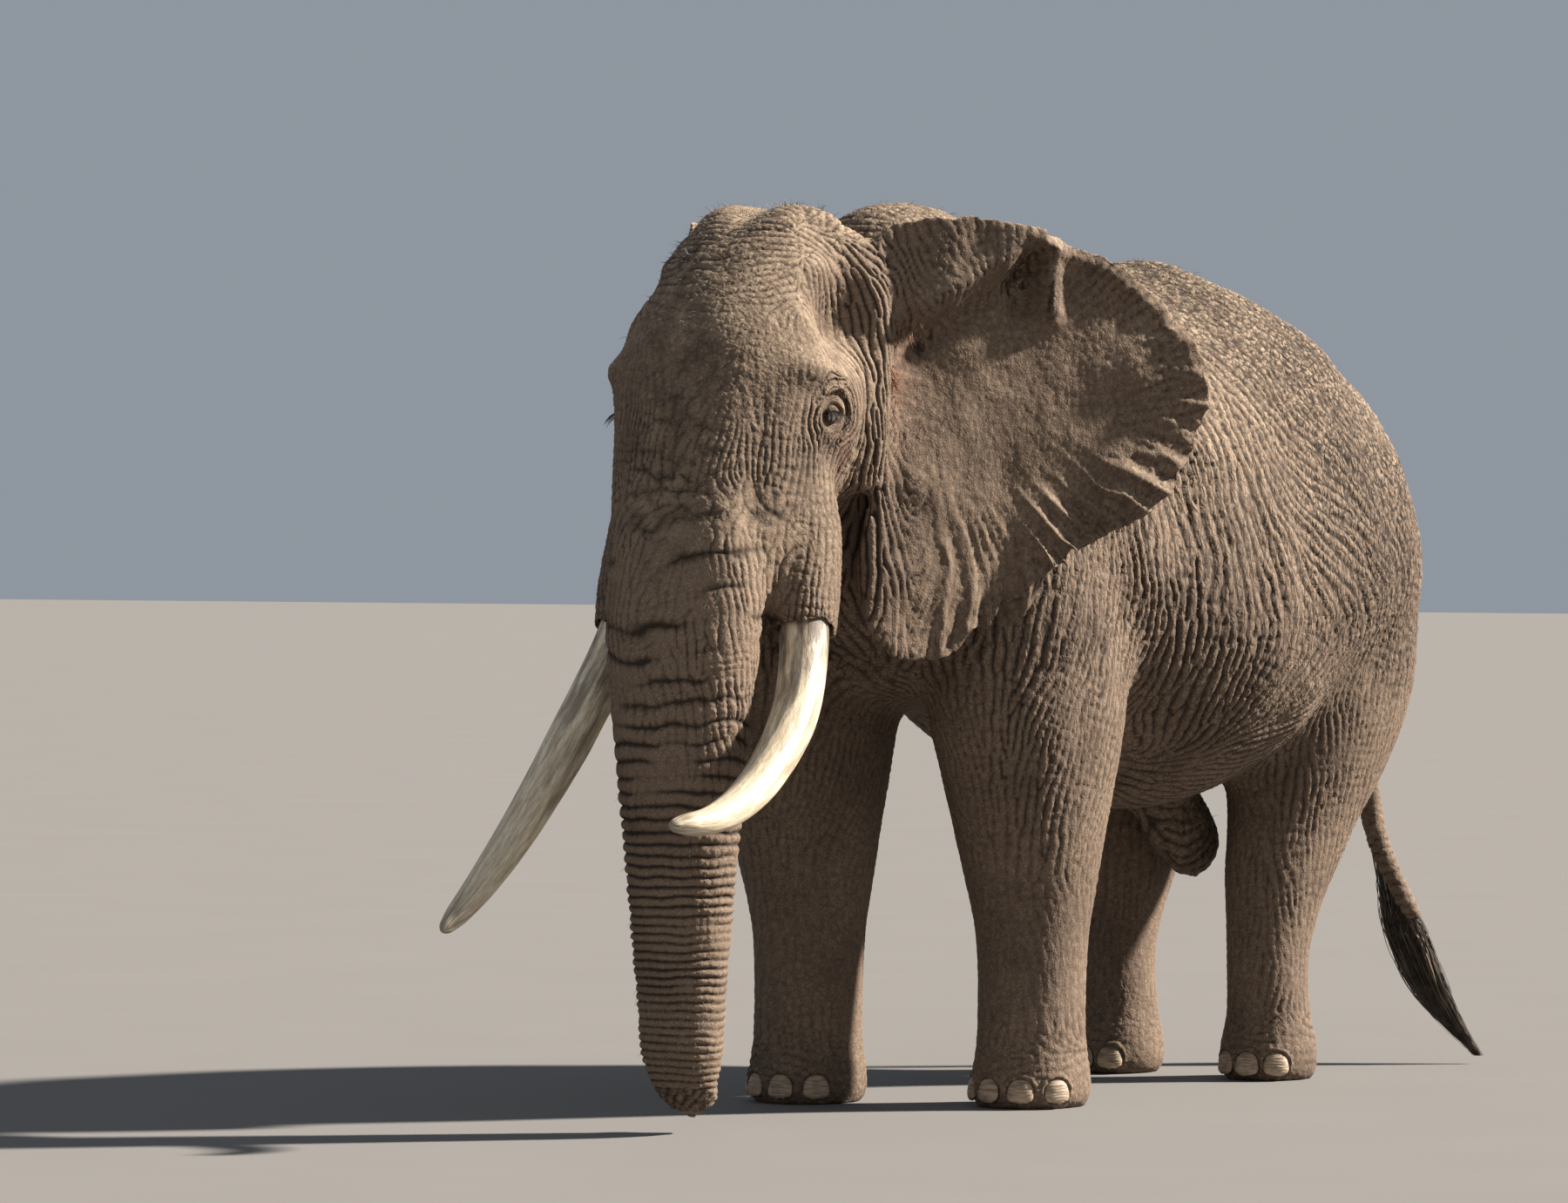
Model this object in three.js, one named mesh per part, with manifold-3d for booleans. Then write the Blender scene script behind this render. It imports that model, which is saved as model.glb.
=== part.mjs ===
// A bull African bush elephant, standing still at life size, as a museum model.
// Millimetres, +Z up. The head faces -Y, the animal's left side is +X, and the soles stand on Z = 0.
// The whole body is modelled first, as ovals lofted along its parts, and then parted with thin cuts.
import * as THREE from "three";
import { mergeVertices } from "three/addons/utils/BufferGeometryUtils.js";
import Module from "manifold-3d";

const wasm = await Module();
wasm.setup();

// ---------------------------------------------------------------- driving sizes
const SHOULDER_HEIGHT = 3350;
const HIP_HEIGHT = 3170;
const BELLY_CLEARANCE = 1060;
const BODY_HALF_WIDTH = 872;
const CUT = 0.5; // width of the cuts that part the body
const GAP = 0.6; // clearance round the eyes, nails, tusks, ears, jaw and tail

const HEAD_PLACE = new THREE.Vector3(90, -2240, 0); // the upright axis midway between the eyes
const HEAD_YAW = THREE.MathUtils.degToRad(13); // the head turns a little to its left
const EYE = { across: 404, back: 25, height: 2545, radius: 20 };

const TUSK_RADIUS = 86;
const NAIL = { half: 50, thick: 22, height: 46, level: 66 };

// ---------------------------------------------------------------- shapes
// A smooth curve through [position, value] knots, held flat beyond both ends.
function profile(knots) {
  const slope = knots.map((_, i) => {
    const a = knots[Math.max(i - 1, 0)];
    const b = knots[Math.min(i + 1, knots.length - 1)];
    return (b[1] - a[1]) / (b[0] - a[0]);
  });
  return (x) => {
    if (x <= knots[0][0]) return knots[0][1];
    if (x >= knots.at(-1)[0]) return knots.at(-1)[1];
    const i = knots.findIndex((k) => k[0] > x) - 1;
    const [x0, v0] = knots[i];
    const [x1, v1] = knots[i + 1];
    const span = x1 - x0;
    const t = (x - x0) / span;
    const rise = t * t * (3 - 2 * t);
    return (
      v0 + (v1 - v0) * rise + span * (slope[i] * t * (1 - t) ** 2 - slope[i + 1] * t * t * (1 - t))
    );
  };
}

// One closed section: an oval with its own reach above and below, squarer as power rises.
function section(centre, across, up, { half, above, below, power = 2 }, sides, grown) {
  const bend = (v) => Math.sign(v) * Math.abs(v) ** (2 / power);
  return Array.from({ length: sides }, (_, k) => {
    const angle = (2 * Math.PI * (k + 0.5)) / sides;
    const reach = Math.sin(angle) > 0 ? above : below;
    return centre
      .clone()
      .addScaledVector(across, (half + grown) * bend(Math.cos(angle)))
      .addScaledVector(up, (reach + grown) * bend(Math.sin(angle)));
  });
}

// A closed surface through rings of points, with a fan over each end, its faces pointing out.
function loft(rings) {
  const sides = rings[0].length;
  const points = rings.flat();
  const last = rings.length - 1;
  const faces = [];
  for (let i = 0; i < last; i++)
    for (let k = 0; k < sides; k++) {
      const a = i * sides + k;
      const b = i * sides + ((k + 1) % sides);
      faces.push([a, b, b + sides], [a, b + sides, a + sides]);
    }
  for (const [ring, flip] of [
    [0, true],
    [last, false],
  ]) {
    const middle = rings[ring].reduce((s, p) => s.add(p), new THREE.Vector3());
    const centre = points.push(middle.divideScalar(sides)) - 1;
    for (let k = 0; k < sides; k++) {
      const a = ring * sides + k;
      const b = ring * sides + ((k + 1) % sides);
      faces.push(flip ? [centre, b, a] : [centre, a, b]);
    }
  }
  return closedGeometry(points, faces);
}

function closedGeometry(points, faces) {
  const volume = faces.reduce(
    (sum, [a, b, c]) => sum + points[a].dot(points[b].clone().cross(points[c])),
    0,
  );
  const out = volume < 0 ? faces.map(([a, b, c]) => [a, c, b]) : faces;
  const geometry = new THREE.BufferGeometry().setFromPoints(points);
  geometry.setIndex(out.flat());
  return geometry;
}

// ---------------------------------------------------------------- solids
function solidOf(geometry) {
  const bare = geometry.clone();
  bare.deleteAttribute("normal");
  bare.deleteAttribute("uv");
  const merged = mergeVertices(bare, 1e-3);
  return new wasm.Manifold(
    new wasm.Mesh({
      numProp: 3,
      vertProperties: merged.attributes.position.array,
      triVerts: new Uint32Array(merged.index.array),
    }),
  );
}

const joined = (solids) => solids.reduce((whole, solid) => whole.add(solid));

function geometryOf(solid) {
  const mesh = solid.getMesh();
  const position = new Float32Array(mesh.numVert * 3);
  for (let i = 0; i < mesh.numVert; i++)
    position.set(mesh.vertProperties.subarray(i * mesh.numProp, i * mesh.numProp + 3), i * 3);
  const geometry = new THREE.BufferGeometry();
  geometry.setAttribute("position", new THREE.BufferAttribute(position, 3));
  geometry.setIndex(new THREE.BufferAttribute(mesh.triVerts, 1));
  geometry.computeVertexNormals();
  return geometry;
}

// A thin slab that cuts through a limb, centred at a point and square to a direction.
function cutter(centre, direction, width, depth = width) {
  const slab = new THREE.BoxGeometry(width, depth, CUT);
  const turn = new THREE.Quaternion().setFromUnitVectors(
    new THREE.Vector3(0, 0, 1),
    direction.clone().normalize(),
  );
  slab.applyQuaternion(turn);
  slab.translate(centre.x, centre.y, centre.z);
  return solidOf(slab);
}

// ---------------------------------------------------------------- torso
const X = new THREE.Vector3(1, 0, 0);
const Y = new THREE.Vector3(0, 1, 0);
const Z = new THREE.Vector3(0, 0, 1);

const backLine = profile([
  [-1480, 3080],
  [-1300, 3290],
  [-1080, SHOULDER_HEIGHT],
  [-800, 3290],
  [-450, 3130],
  [-80, 3055],
  [220, 3095],
  [480, HIP_HEIGHT],
  [700, 3125],
  [900, 3035],
  [1100, 2940],
  [1320, 2830],
  [1520, 2590],
  [1640, 2350],
  [1710, 2160],
]);
const bellyLine = profile([
  [-1480, 1800],
  [-1250, 1560],
  [-1000, 1500],
  [-600, 1400],
  [-150, 1190],
  [250, BELLY_CLEARANCE],
  [600, 1100],
  [900, 1230],
  [1200, 1380],
  [1500, 1500],
  [1710, 1680],
]);
const flankLine = profile([
  [-1480, 330],
  [-1300, 520],
  [-1000, 650],
  [-600, 730],
  [-200, 815],
  [200, BODY_HALF_WIDTH],
  [600, 882],
  [900, 878],
  [1150, 838],
  [1350, 760],
  [1520, 640],
  [1640, 490],
  [1710, 330],
]);
const widestLine = profile([
  [-1480, 2300],
  [-1000, 2150],
  [-200, 1900],
  [300, 1880],
  [900, 2030],
  [1710, 1930],
]);
const TORSO_ENDS = [-1480, 1710];

function torso(grown, sections = 19, sides = 22) {
  return loft(
    Array.from({ length: sections }, (_, i) => {
      const [front, rear] = TORSO_ENDS;
      const y = THREE.MathUtils.lerp(front - grown, rear + grown, i / (sections - 1));
      const level = widestLine(y);
      return section(
        new THREE.Vector3(0, y, level),
        X,
        Z,
        {
          half: flankLine(y),
          above: backLine(y) - level,
          below: level - bellyLine(y),
          power: 2.02,
        },
        sides,
        grown,
      );
    }),
  );
}

// The relaxed sheath of a bull hangs under the groin.
function groin(grown) {
  const path = new THREE.CatmullRomCurve3([
    new THREE.Vector3(0, 420, 1240),
    new THREE.Vector3(0, 680, 1070),
    new THREE.Vector3(0, 860, 915),
    new THREE.Vector3(0, 965, 825),
  ]);
  const size = profile([
    [0, 90],
    [0.5, 145],
    [0.85, 140],
    [1, 76],
  ]);
  const sizeAt = (t) => ({ half: size(t) * 0.9, above: size(t), below: size(t) });
  return sweep(path, X, sizeAt, 6, 10, grown);
}

// ---------------------------------------------------------------- legs
// Each row: height, centre outward and back from the foot's, half width, reach forward and back.
const FRONT_LEG = [
  [0, 0, 0, 196, 210, 200],
  [45, 0, 0, 214, 230, 214],
  [130, 0, 0, 214, 230, 214],
  [240, 0, 0, 198, 210, 198],
  [620, 0, 0, 202, 214, 220],
  [830, 0, -5, 232, 258, 256],
  [1030, 2, -14, 266, 312, 300],
  [1230, 4, -24, 296, 372, 356],
  [1430, 8, -44, 322, 414, 416],
  [1630, 16, -80, 320, 400, 430],
  [1850, 20, -120, 325, 390, 420],
  [2150, 10, -160, 300, 370, 390],
  [2450, -20, -190, 240, 320, 320],
];
const HIND_LEG = [
  [0, 0, 0, 164, 178, 170],
  [45, 0, 0, 182, 198, 184],
  [130, 0, 0, 182, 196, 182],
  [240, 0, 0, 160, 172, 164],
  [450, 0, -10, 148, 174, 172],
  [620, 5, 10, 164, 198, 200],
  [790, 12, 55, 194, 246, 246],
  [1000, 28, 125, 226, 300, 296],
  [1200, 50, 175, 268, 370, 392],
  [1470, 78, 195, 310, 450, 486],
  [1800, 90, 175, 330, 480, 510],
  [2150, 70, 110, 300, 430, 460],
  [2450, 20, 40, 200, 260, 280],
];
const ANKLE = 250;
const FEET = {
  front_left: { table: FRONT_LEG, side: 1, foot: [400, -775], knee: 1215, nails: 4 },
  front_right: { table: FRONT_LEG, side: -1, foot: [-400, -1085], knee: 1215, nails: 4 },
  hind_left: { table: HIND_LEG, side: 1, foot: [350, 895], knee: 930, nails: 3 },
  hind_right: { table: HIND_LEG, side: -1, foot: [-335, 850], knee: 930, nails: 3 },
};

function legSection({ table, side, foot }, height) {
  const field = (column) => profile(table.map((row) => [row[0], row[column]]))(height);
  const centre = new THREE.Vector3(foot[0] + side * field(1), foot[1] + field(2), height);
  return { centre, half: field(3), above: field(4), below: field(5), power: 2.1 };
}

function leg(place, grown, sides = 14) {
  const forward = Y.clone().negate();
  return loft(
    place.table.map(([height]) => {
      const oval = legSection(place, height);
      return section(oval.centre, X, forward, oval, sides, grown);
    }),
  );
}

// The toenails stand round the front of a foot, clear of the floor.
function nails(place, grown) {
  const oval = legSection(place, NAIL.level);
  return Array.from({ length: place.nails }, (_, i) => {
    const turn = THREE.MathUtils.degToRad((i - (place.nails - 1) / 2) * 36 + place.side * 8);
    const out = new THREE.Vector3(Math.sin(turn), -Math.cos(turn), 0);
    const seat = new THREE.Vector3(oval.half * out.x, oval.above * out.y, 0);
    const nail = new THREE.SphereGeometry(1, 7, 4);
    nail.scale(NAIL.half + grown, NAIL.thick + grown, NAIL.height + grown);
    nail.rotateX(0.12);
    nail.rotateZ(turn);
    const centre = oval.centre.clone().add(seat).addScaledVector(out, -2);
    nail.translate(centre.x, centre.y, centre.z);
    return nail;
  });
}

// ---------------------------------------------------------------- head and trunk
const LEFT = new THREE.Vector3(Math.cos(HEAD_YAW), Math.sin(HEAD_YAW), 0);
const BACK = new THREE.Vector3(-Math.sin(HEAD_YAW), Math.cos(HEAD_YAW), 0);
const FORWARD = BACK.clone().negate();

// A point of the head: to its left, back from the axis between the eyes, and up from the floor.
const inHead = (across, back, height) =>
  HEAD_PLACE.clone().addScaledVector(LEFT, across).addScaledVector(BACK, back).setZ(height);

// Each row: height, half width, front and back of the skull from the eye axis.
const SKULL = [
  [3290, 90, 330, 560],
  [3268, 190, 200, 690],
  [3180, 262, 60, 730],
  [3080, 305, -60, 740],
  [2960, 342, -175, 740],
  [2820, 398, -262, 730],
  [2620, 430, -335, 700],
  [2450, 408, -385, 640],
  [2300, 378, -430, 500],
  [2150, 345, -478, 330],
  [2000, 310, -510, 150],
  [1890, 270, -520, 20],
  [1800, 200, -500, -100],
];

function skull(grown, sides = 20) {
  return loft(
    SKULL.map(([z, half, front, back]) => {
      const middle = front * 0.55 + back * 0.45;
      return section(
        inHead(0, middle, z),
        LEFT,
        BACK,
        { half, above: back - middle, below: middle - front, power: 2.3 },
        sides,
        grown,
      );
    }),
  );
}

// The trunk's middle line in the head's own plane: distance back from the eye axis, height.
const TRUNK_LINE = [
  [-190, 2420],
  [-268, 2160],
  [-345, 1850],
  [-370, 1500],
  [-375, 1150],
  [-372, 800],
  [-370, 500],
  [-362, 290],
  [-325, 170],
  [-250, 125],
];
// The trunk's half width and half depth at each height, and at its tip.
const trunkHalf = profile([
  [120, 84],
  [180, 118],
  [290, 146],
  [500, 162],
  [800, 187],
  [1150, 219],
  [1500, 254],
  [1850, 292],
  [2160, 300],
  [2420, 240],
]);
const trunkDepth = profile([
  [120, 66],
  [180, 96],
  [290, 122],
  [500, 136],
  [800, 156],
  [1150, 177],
  [1500, 194],
  [1850, 206],
  [2160, 205],
  [2420, 150],
]);
const trunkPath = new THREE.CatmullRomCurve3(
  TRUNK_LINE.map(([back, height]) => inHead(0, back, height)),
);

const TRUNK_CUTS = [0.37, 0.53, 0.69, 0.84];

function sweep(path, across, sizeAt, sections, sides, grown) {
  return loft(
    Array.from({ length: sections }, (_, i) => {
      const t = i / (sections - 1);
      const along = path.getTangentAt(t);
      const up = across.clone().cross(along).normalize();
      const end = (t === 1) - (t === 0);
      const centre = path.getPointAt(t).addScaledVector(along, end * grown);
      return section(centre, across, up, sizeAt(t), sides, grown);
    }),
  );
}

function trunk(grown) {
  const sizeAt = (t) => {
    const height = trunkPath.getPointAt(t).z;
    const depth = trunkDepth(height);
    return { half: trunkHalf(height), above: depth, below: depth, power: 2.15 };
  };
  return sweep(trunkPath, LEFT, sizeAt, 17, 16, grown);
}

// The sheath that each tusk leaves, a tapered bulge from the cheek down to the lip.
function tuskSheath(side, grown) {
  const path = new THREE.CatmullRomCurve3([
    inHead(side * 250, 30, 2440),
    inHead(side * 284, 15, 2200),
    inHead(side * 320, -35, 1950),
    inHead(side * 345, -80, 1765),
  ]);
  const size = profile([
    [0, 100],
    [0.35, 142],
    [0.75, 136],
    [1, 116],
  ]);
  const sizeAt = (t) => ({ half: size(t), above: size(t) * 1.15, below: size(t) * 1.15 });
  return sweep(path, LEFT, sizeAt, 6, 12, grown);
}

function jaw(grown) {
  const path = new THREE.CatmullRomCurve3([
    inHead(0, 500, 2300),
    inHead(0, 330, 2170),
    inHead(0, 120, 2020),
    inHead(0, -60, 1890),
    inHead(0, -180, 1790),
  ]);
  const half = profile([
    [0, 230],
    [0.35, 270],
    [0.7, 190],
    [1, 60],
  ]);
  const sizeAt = (t) => ({ half: half(t), above: 170 - 100 * t, below: 170 - 100 * t });
  return sweep(path, LEFT, sizeAt, 7, 12, grown);
}

function neck(grown) {
  const path = new THREE.CatmullRomCurve3([
    inHead(0, 330, 2560),
    inHead(-10, 620, 2520),
    new THREE.Vector3(0, -1400, 2450),
    new THREE.Vector3(0, -1100, 2380),
  ]);
  const half = profile([
    [0, 360],
    [0.4, 420],
    [0.75, 520],
    [1, 600],
  ]);
  const above = profile([
    [0, 560],
    [0.35, 640],
    [0.7, 760],
    [1, 850],
  ]);
  const below = profile([
    [0, 420],
    [0.35, 520],
    [0.7, 700],
    [1, 800],
  ]);
  const sizeAt = (t) => ({ half: half(t), above: above(t), below: below(t) });
  return sweep(path, X, sizeAt, 6, 18, grown);
}

// ---------------------------------------------------------------- tusks
const TUSK_LINES = {
  left: [
    [335, -60, 1930],
    [360, -112, 1740],
    [390, -270, 1480],
    [365, -540, 1240],
    [305, -780, 1130],
    [225, -950, 1115],
  ],
  right: [
    [-325, -60, 1930],
    [-358, -125, 1740],
    [-430, -320, 1440],
    [-505, -570, 1130],
    [-575, -820, 880],
    [-620, -1015, 735],
  ],
};
const tuskTaper = profile([
  [0, 1],
  [0.35, 0.98],
  [0.7, 0.78],
  [0.93, 0.5],
  [1, 0.24],
]);

function tusk(line, grown) {
  const path = new THREE.CatmullRomCurve3(line.map((p) => inHead(...p)));
  const sizeAt = (t) => {
    const r = TUSK_RADIUS * tuskTaper(t);
    return { half: r, above: r, below: r };
  };
  return sweep(path, LEFT, sizeAt, 13, 10, grown);
}

// ---------------------------------------------------------------- ears
// The ear's margin in its own plane: distance out from the root line, height above the floor.
const EAR_MARGIN = [
  [-60, 3200],
  [170, 3262],
  [440, 3245],
  [680, 3175],
  [880, 3090],
  [1060, 2960],
  [1180, 2800],
  [1225, 2640],
  [1170, 2440],
  [1040, 2230],
  [740, 2060],
  [560, 1940],
  [400, 1790],
  [290, 1690],
  [50, 1655],
  [-85, 1740],
  [-130, 1960],
  [-90, 2240],
  [-70, 2540],
  [-70, 2900],
];
const EAR_MIDDLE = [430, 2600];
const EARS = {
  left: { side: 1, root: inHead(450, 470, 0), out: THREE.MathUtils.degToRad(55), lean: 0 },
  right: { side: -1, root: inHead(-440, 560, 0), out: THREE.MathUtils.degToRad(70), lean: 70 },
};

// How far the ear stands in front of its plane: a rolled top edge, a cupped middle, a wavy rim.
function earCamber(out, height, reach, angle, lean) {
  const { smoothstep, clamp } = THREE.MathUtils;
  const roll = 100 * smoothstep(height - 0.5 * out, 2660, 2920) * smoothstep(out, -80, 260);
  const fade = 1 - 0.75 * smoothstep(out, 520, 900);
  const cup = -70 * Math.sin(Math.PI * clamp(out / 1200, 0, 1)) * (1 - reach * 0.4);
  const wave = 24 * reach ** 3 * Math.sin(angle * 9) * smoothstep(out, 100, 500);
  const tuck = lean * smoothstep(height, 2700, 3250) * (1 - smoothstep(out, 100, 800));
  return roll * fade + cup + wave - tuck;
}

function ear({ side, root, out, lean }, rings = 4, around = 30) {
  const direction = new THREE.Vector3(side * Math.cos(out), Math.sin(out), 0);
  const facing = new THREE.Vector3(side * Math.sin(out), -Math.cos(out), 0);
  const margin = new THREE.CatmullRomCurve3(
    EAR_MARGIN.map(([u, z]) => new THREE.Vector3(u, z, 0)),
    true,
  );
  const thickness = (reach) => THREE.MathUtils.lerp(26, 8, reach ** 2);
  const place = (u, z, w) =>
    root.clone().addScaledVector(direction, u).addScaledVector(facing, w).setZ(z);
  const at = (reach, k, face) => {
    const rim = margin.getPoint(k / around);
    const u = THREE.MathUtils.lerp(EAR_MIDDLE[0], rim.x, reach);
    const z = THREE.MathUtils.lerp(EAR_MIDDLE[1], rim.y, reach);
    const angle = Math.atan2(z - EAR_MIDDLE[1], u - EAR_MIDDLE[0]);
    return place(u, z, earCamber(u, z, reach, angle, lean) + face * thickness(reach));
  };
  const ring = (reach, face) => Array.from({ length: around }, (_, k) => at(reach, k, face));
  const reaches = Array.from({ length: rings }, (_, i) => ((i + 1) / rings) ** 0.8);
  const front = reaches.map((reach) => ring(reach, 1));
  const back = reaches.map((reach) => ring(reach, -1)).reverse();
  return loft([...front, ...back]);
}

// ---------------------------------------------------------------- tail
const TAIL_LINE = [
  [0, 1500, 2440],
  [10, 1690, 2290],
  [45, 1795, 1950],
  [105, 1820, 1500],
  [180, 1850, 1150],
  [225, 1870, 900],
  [290, 1890, 740],
  [375, 1915, 575],
].map((p) => new THREE.Vector3(...p));
const TUFT_LINE = [
  [240, 1905, 800],
  [318, 1940, 520],
  [440, 1962, 260],
  [600, 2030, 30],
].map((p) => new THREE.Vector3(...p));

function tail(grown) {
  const size = profile([
    [0, 130],
    [0.2, 80],
    [0.5, 48],
    [1, 28],
  ]);
  const sizeAt = (t) => ({ half: size(t), above: size(t), below: size(t) });
  return sweep(new THREE.CatmullRomCurve3(TAIL_LINE), X, sizeAt, 12, 8, grown);
}

function tuft() {
  const size = profile([
    [0, 44],
    [0.35, 104],
    [0.65, 84],
    [1, 12],
  ]);
  const sizeAt = (t) => ({ half: size(t), above: size(t) * 0.6, below: size(t) * 0.6 });
  return sweep(new THREE.CatmullRomCurve3(TUFT_LINE), X, sizeAt, 8, 8, 0);
}

// ---------------------------------------------------------------- assembly
const COLOURS = {
  skin: new THREE.MeshStandardMaterial({ color: 0x8d7c6e, roughness: 0.85, metalness: 0 }),
  ivory: new THREE.MeshStandardMaterial({ color: 0xd8c9a8, roughness: 0.45, metalness: 0 }),
  hair: new THREE.MeshStandardMaterial({ color: 0x2c2624, roughness: 0.6, metalness: 0 }),
  eye: new THREE.MeshStandardMaterial({ color: 0x3a2416, roughness: 0.15, metalness: 0 }),
  nail: new THREE.MeshStandardMaterial({ color: 0xa99780, roughness: 0.6, metalness: 0 }),
};

// The flesh, or the same flesh grown on every side to clear what lies against it.
const fleshOf = (grown) =>
  joined([
    solidOf(torso(grown)),
    solidOf(groin(grown)),
    ...Object.values(FEET).map((place) => solidOf(leg(place, grown))),
    solidOf(neck(grown)),
    solidOf(skull(grown)),
    solidOf(trunk(grown)),
    solidOf(tuskSheath(1, grown)),
    solidOf(tuskSheath(-1, grown)),
  ]);

// The outer piece of a solid that runs into others.
function cleared(solid, others) {
  const pieces = solid.subtract(others).decompose();
  return pieces.reduce((best, piece) => (piece.volume() > best.volume() ? piece : best));
}

function eyeBall(side, grown) {
  const ball = new THREE.SphereGeometry(EYE.radius + grown, 10, 6);
  const centre = inHead(side * EYE.across, EYE.back, EYE.height);
  return solidOf(ball.translate(centre.x, centre.y, centre.z));
}

// The cuts that part the flesh: where each stands, the way it faces, and how wide it reaches.
function partings() {
  const cuts = [
    cutter(inHead(0, 600, 2500), BACK, 1400, 2400),
    cutter(new THREE.Vector3(0, -1290, 2300), Y, 1800, 2400),
    cutter(new THREE.Vector3(0, -400, 2100), Y, 2200, 2600),
    cutter(new THREE.Vector3(0, 380, 2100), Y, 2200, 2600),
  ];
  for (const place of Object.values(FEET))
    for (const level of [ANKLE, place.knee]) {
      const { centre, half, above, below } = legSection(place, level);
      cuts.push(cutter(centre, Z, 2 * (half + 12), 2 * Math.max(above, below) + 40));
    }
  for (const t of TRUNK_CUTS) {
    const at = trunkPath.getPointAt(t);
    cuts.push(cutter(at, trunkPath.getTangentAt(t), 2.5 * trunkHalf(at.z), 2.5 * trunkHalf(at.z)));
  }
  return joined(cuts);
}

// ---------------------------------------------------------------- the nodes
const SEEDS = {
  head: [60, -2200, 2500],
  neck: [0, -1480, 2400],
  chest: [0, -840, 2300],
  belly: [0, 0, 2100],
  rump: [0, 1000, 2000],
  trunk_1: [170, -2600, 1400],
  trunk_2: [170, -2600, 1050],
  trunk_3: [170, -2600, 700],
  trunk_4: [170, -2600, 250],
  leg_front_left: [400, -780, 730],
  leg_front_right: [-400, -1090, 730],
  leg_hind_left: [360, 950, 600],
  leg_hind_right: [-350, 900, 600],
  foot_front_left: [400, -780, 120],
  foot_front_right: [-400, -1090, 120],
  foot_hind_left: [350, 890, 120],
  foot_hind_right: [-335, 850, 120],
};

const elephant = new THREE.Group();
function addNode(name, solid, material) {
  const mesh = new THREE.Mesh(geometryOf(solid), material);
  mesh.name = name;
  elephant.add(mesh);
}

const pockets = joined([
  eyeBall(1, GAP),
  eyeBall(-1, GAP),
  solidOf(tusk(TUSK_LINES.left, GAP)),
  solidOf(tusk(TUSK_LINES.right, GAP)),
  ...Object.values(FEET).flatMap((place) => nails(place, GAP).map(solidOf)),
]);
const pieces = fleshOf(0).subtract(pockets).subtract(partings()).decompose();

// Each piece of flesh is named by the seed that lies nearest the middle of its box.
for (const [name, seed] of Object.entries(SEEDS)) {
  const middle = (piece) => {
    const { min, max } = piece.boundingBox();
    return new THREE.Vector3(...min).add(new THREE.Vector3(...max)).multiplyScalar(0.5);
  };
  const distance = (piece) => middle(piece).distanceTo(new THREE.Vector3(...seed));
  pieces.sort((a, b) => distance(a) - distance(b));
  addNode(name, pieces.shift(), COLOURS.skin);
}
if (pieces.length) throw new Error(`${pieces.length} pieces of flesh have no name`);

const grownFlesh = fleshOf(GAP);
addNode("jaw", cleared(solidOf(jaw(0)), grownFlesh), COLOURS.skin);
addNode("tail", cleared(solidOf(tail(0)), grownFlesh), COLOURS.skin);
addNode("tail_tuft", cleared(solidOf(tuft()), solidOf(tail(GAP))), COLOURS.hair);
const earStop = grownFlesh.add(solidOf(jaw(GAP)));
for (const [name, side] of Object.entries({ left: 1, right: -1 })) {
  addNode(`ear_${name}`, cleared(solidOf(ear(EARS[name])), earStop), COLOURS.skin);
  addNode(`tusk_${name}`, solidOf(tusk(TUSK_LINES[name], 0)), COLOURS.ivory);
  addNode(`eye_${name}`, eyeBall(side, 0), COLOURS.eye);
}
for (const [foot, place] of Object.entries(FEET))
  nails(place, 0).forEach((nail, i) => addNode(`nail_${foot}_${i + 1}`, solidOf(nail), COLOURS.nail));

// The origin is on the floor, under the middle of the whole animal's box.
const middle = new THREE.Box3().setFromObject(elephant).getCenter(new THREE.Vector3());
for (const { geometry } of elephant.children) geometry.translate(-middle.x, -middle.y, 0);

export default elephant;
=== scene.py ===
"""A bull African bush elephant, standing still at life size: the finish of the museum model.

The hide is lofted from the same named sizes as the solids, in millimetres, joined into one closed
skin, modelled with hollows, lids and folds, and set in the frame in metres. The head faces -Y, the
animal's left side is +X, and the soles stand on Z = 0.
"""
import math

import bmesh
import bpy
import numpy as np
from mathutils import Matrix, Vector


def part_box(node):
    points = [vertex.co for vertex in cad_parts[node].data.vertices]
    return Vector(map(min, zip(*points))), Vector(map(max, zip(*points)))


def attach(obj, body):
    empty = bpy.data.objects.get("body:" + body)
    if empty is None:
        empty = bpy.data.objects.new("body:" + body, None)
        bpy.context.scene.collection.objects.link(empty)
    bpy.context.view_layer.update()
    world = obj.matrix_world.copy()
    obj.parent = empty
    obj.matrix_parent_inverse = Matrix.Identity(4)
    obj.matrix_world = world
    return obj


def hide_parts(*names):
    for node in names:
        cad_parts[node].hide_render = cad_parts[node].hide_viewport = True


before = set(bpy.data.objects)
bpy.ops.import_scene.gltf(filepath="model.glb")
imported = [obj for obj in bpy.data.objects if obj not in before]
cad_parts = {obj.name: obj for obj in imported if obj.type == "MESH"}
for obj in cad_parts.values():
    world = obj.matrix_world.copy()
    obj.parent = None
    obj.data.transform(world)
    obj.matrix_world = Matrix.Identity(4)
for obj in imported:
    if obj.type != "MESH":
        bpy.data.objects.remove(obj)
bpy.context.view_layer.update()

bl_info = {
    "name": "Museum elephant",
    "version": (1, 0, 0),
    "blender": (4, 5, 0),
    "location": "3D View > Sidebar > Elephant",
    "description": "Builds the hide, tusks, eyes, nails and hair of a life-size bull elephant",
    "category": "Object",
}

MM = 0.001
TURN = 2 * math.pi
SIDES = {"left": 1, "right": -1}

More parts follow.
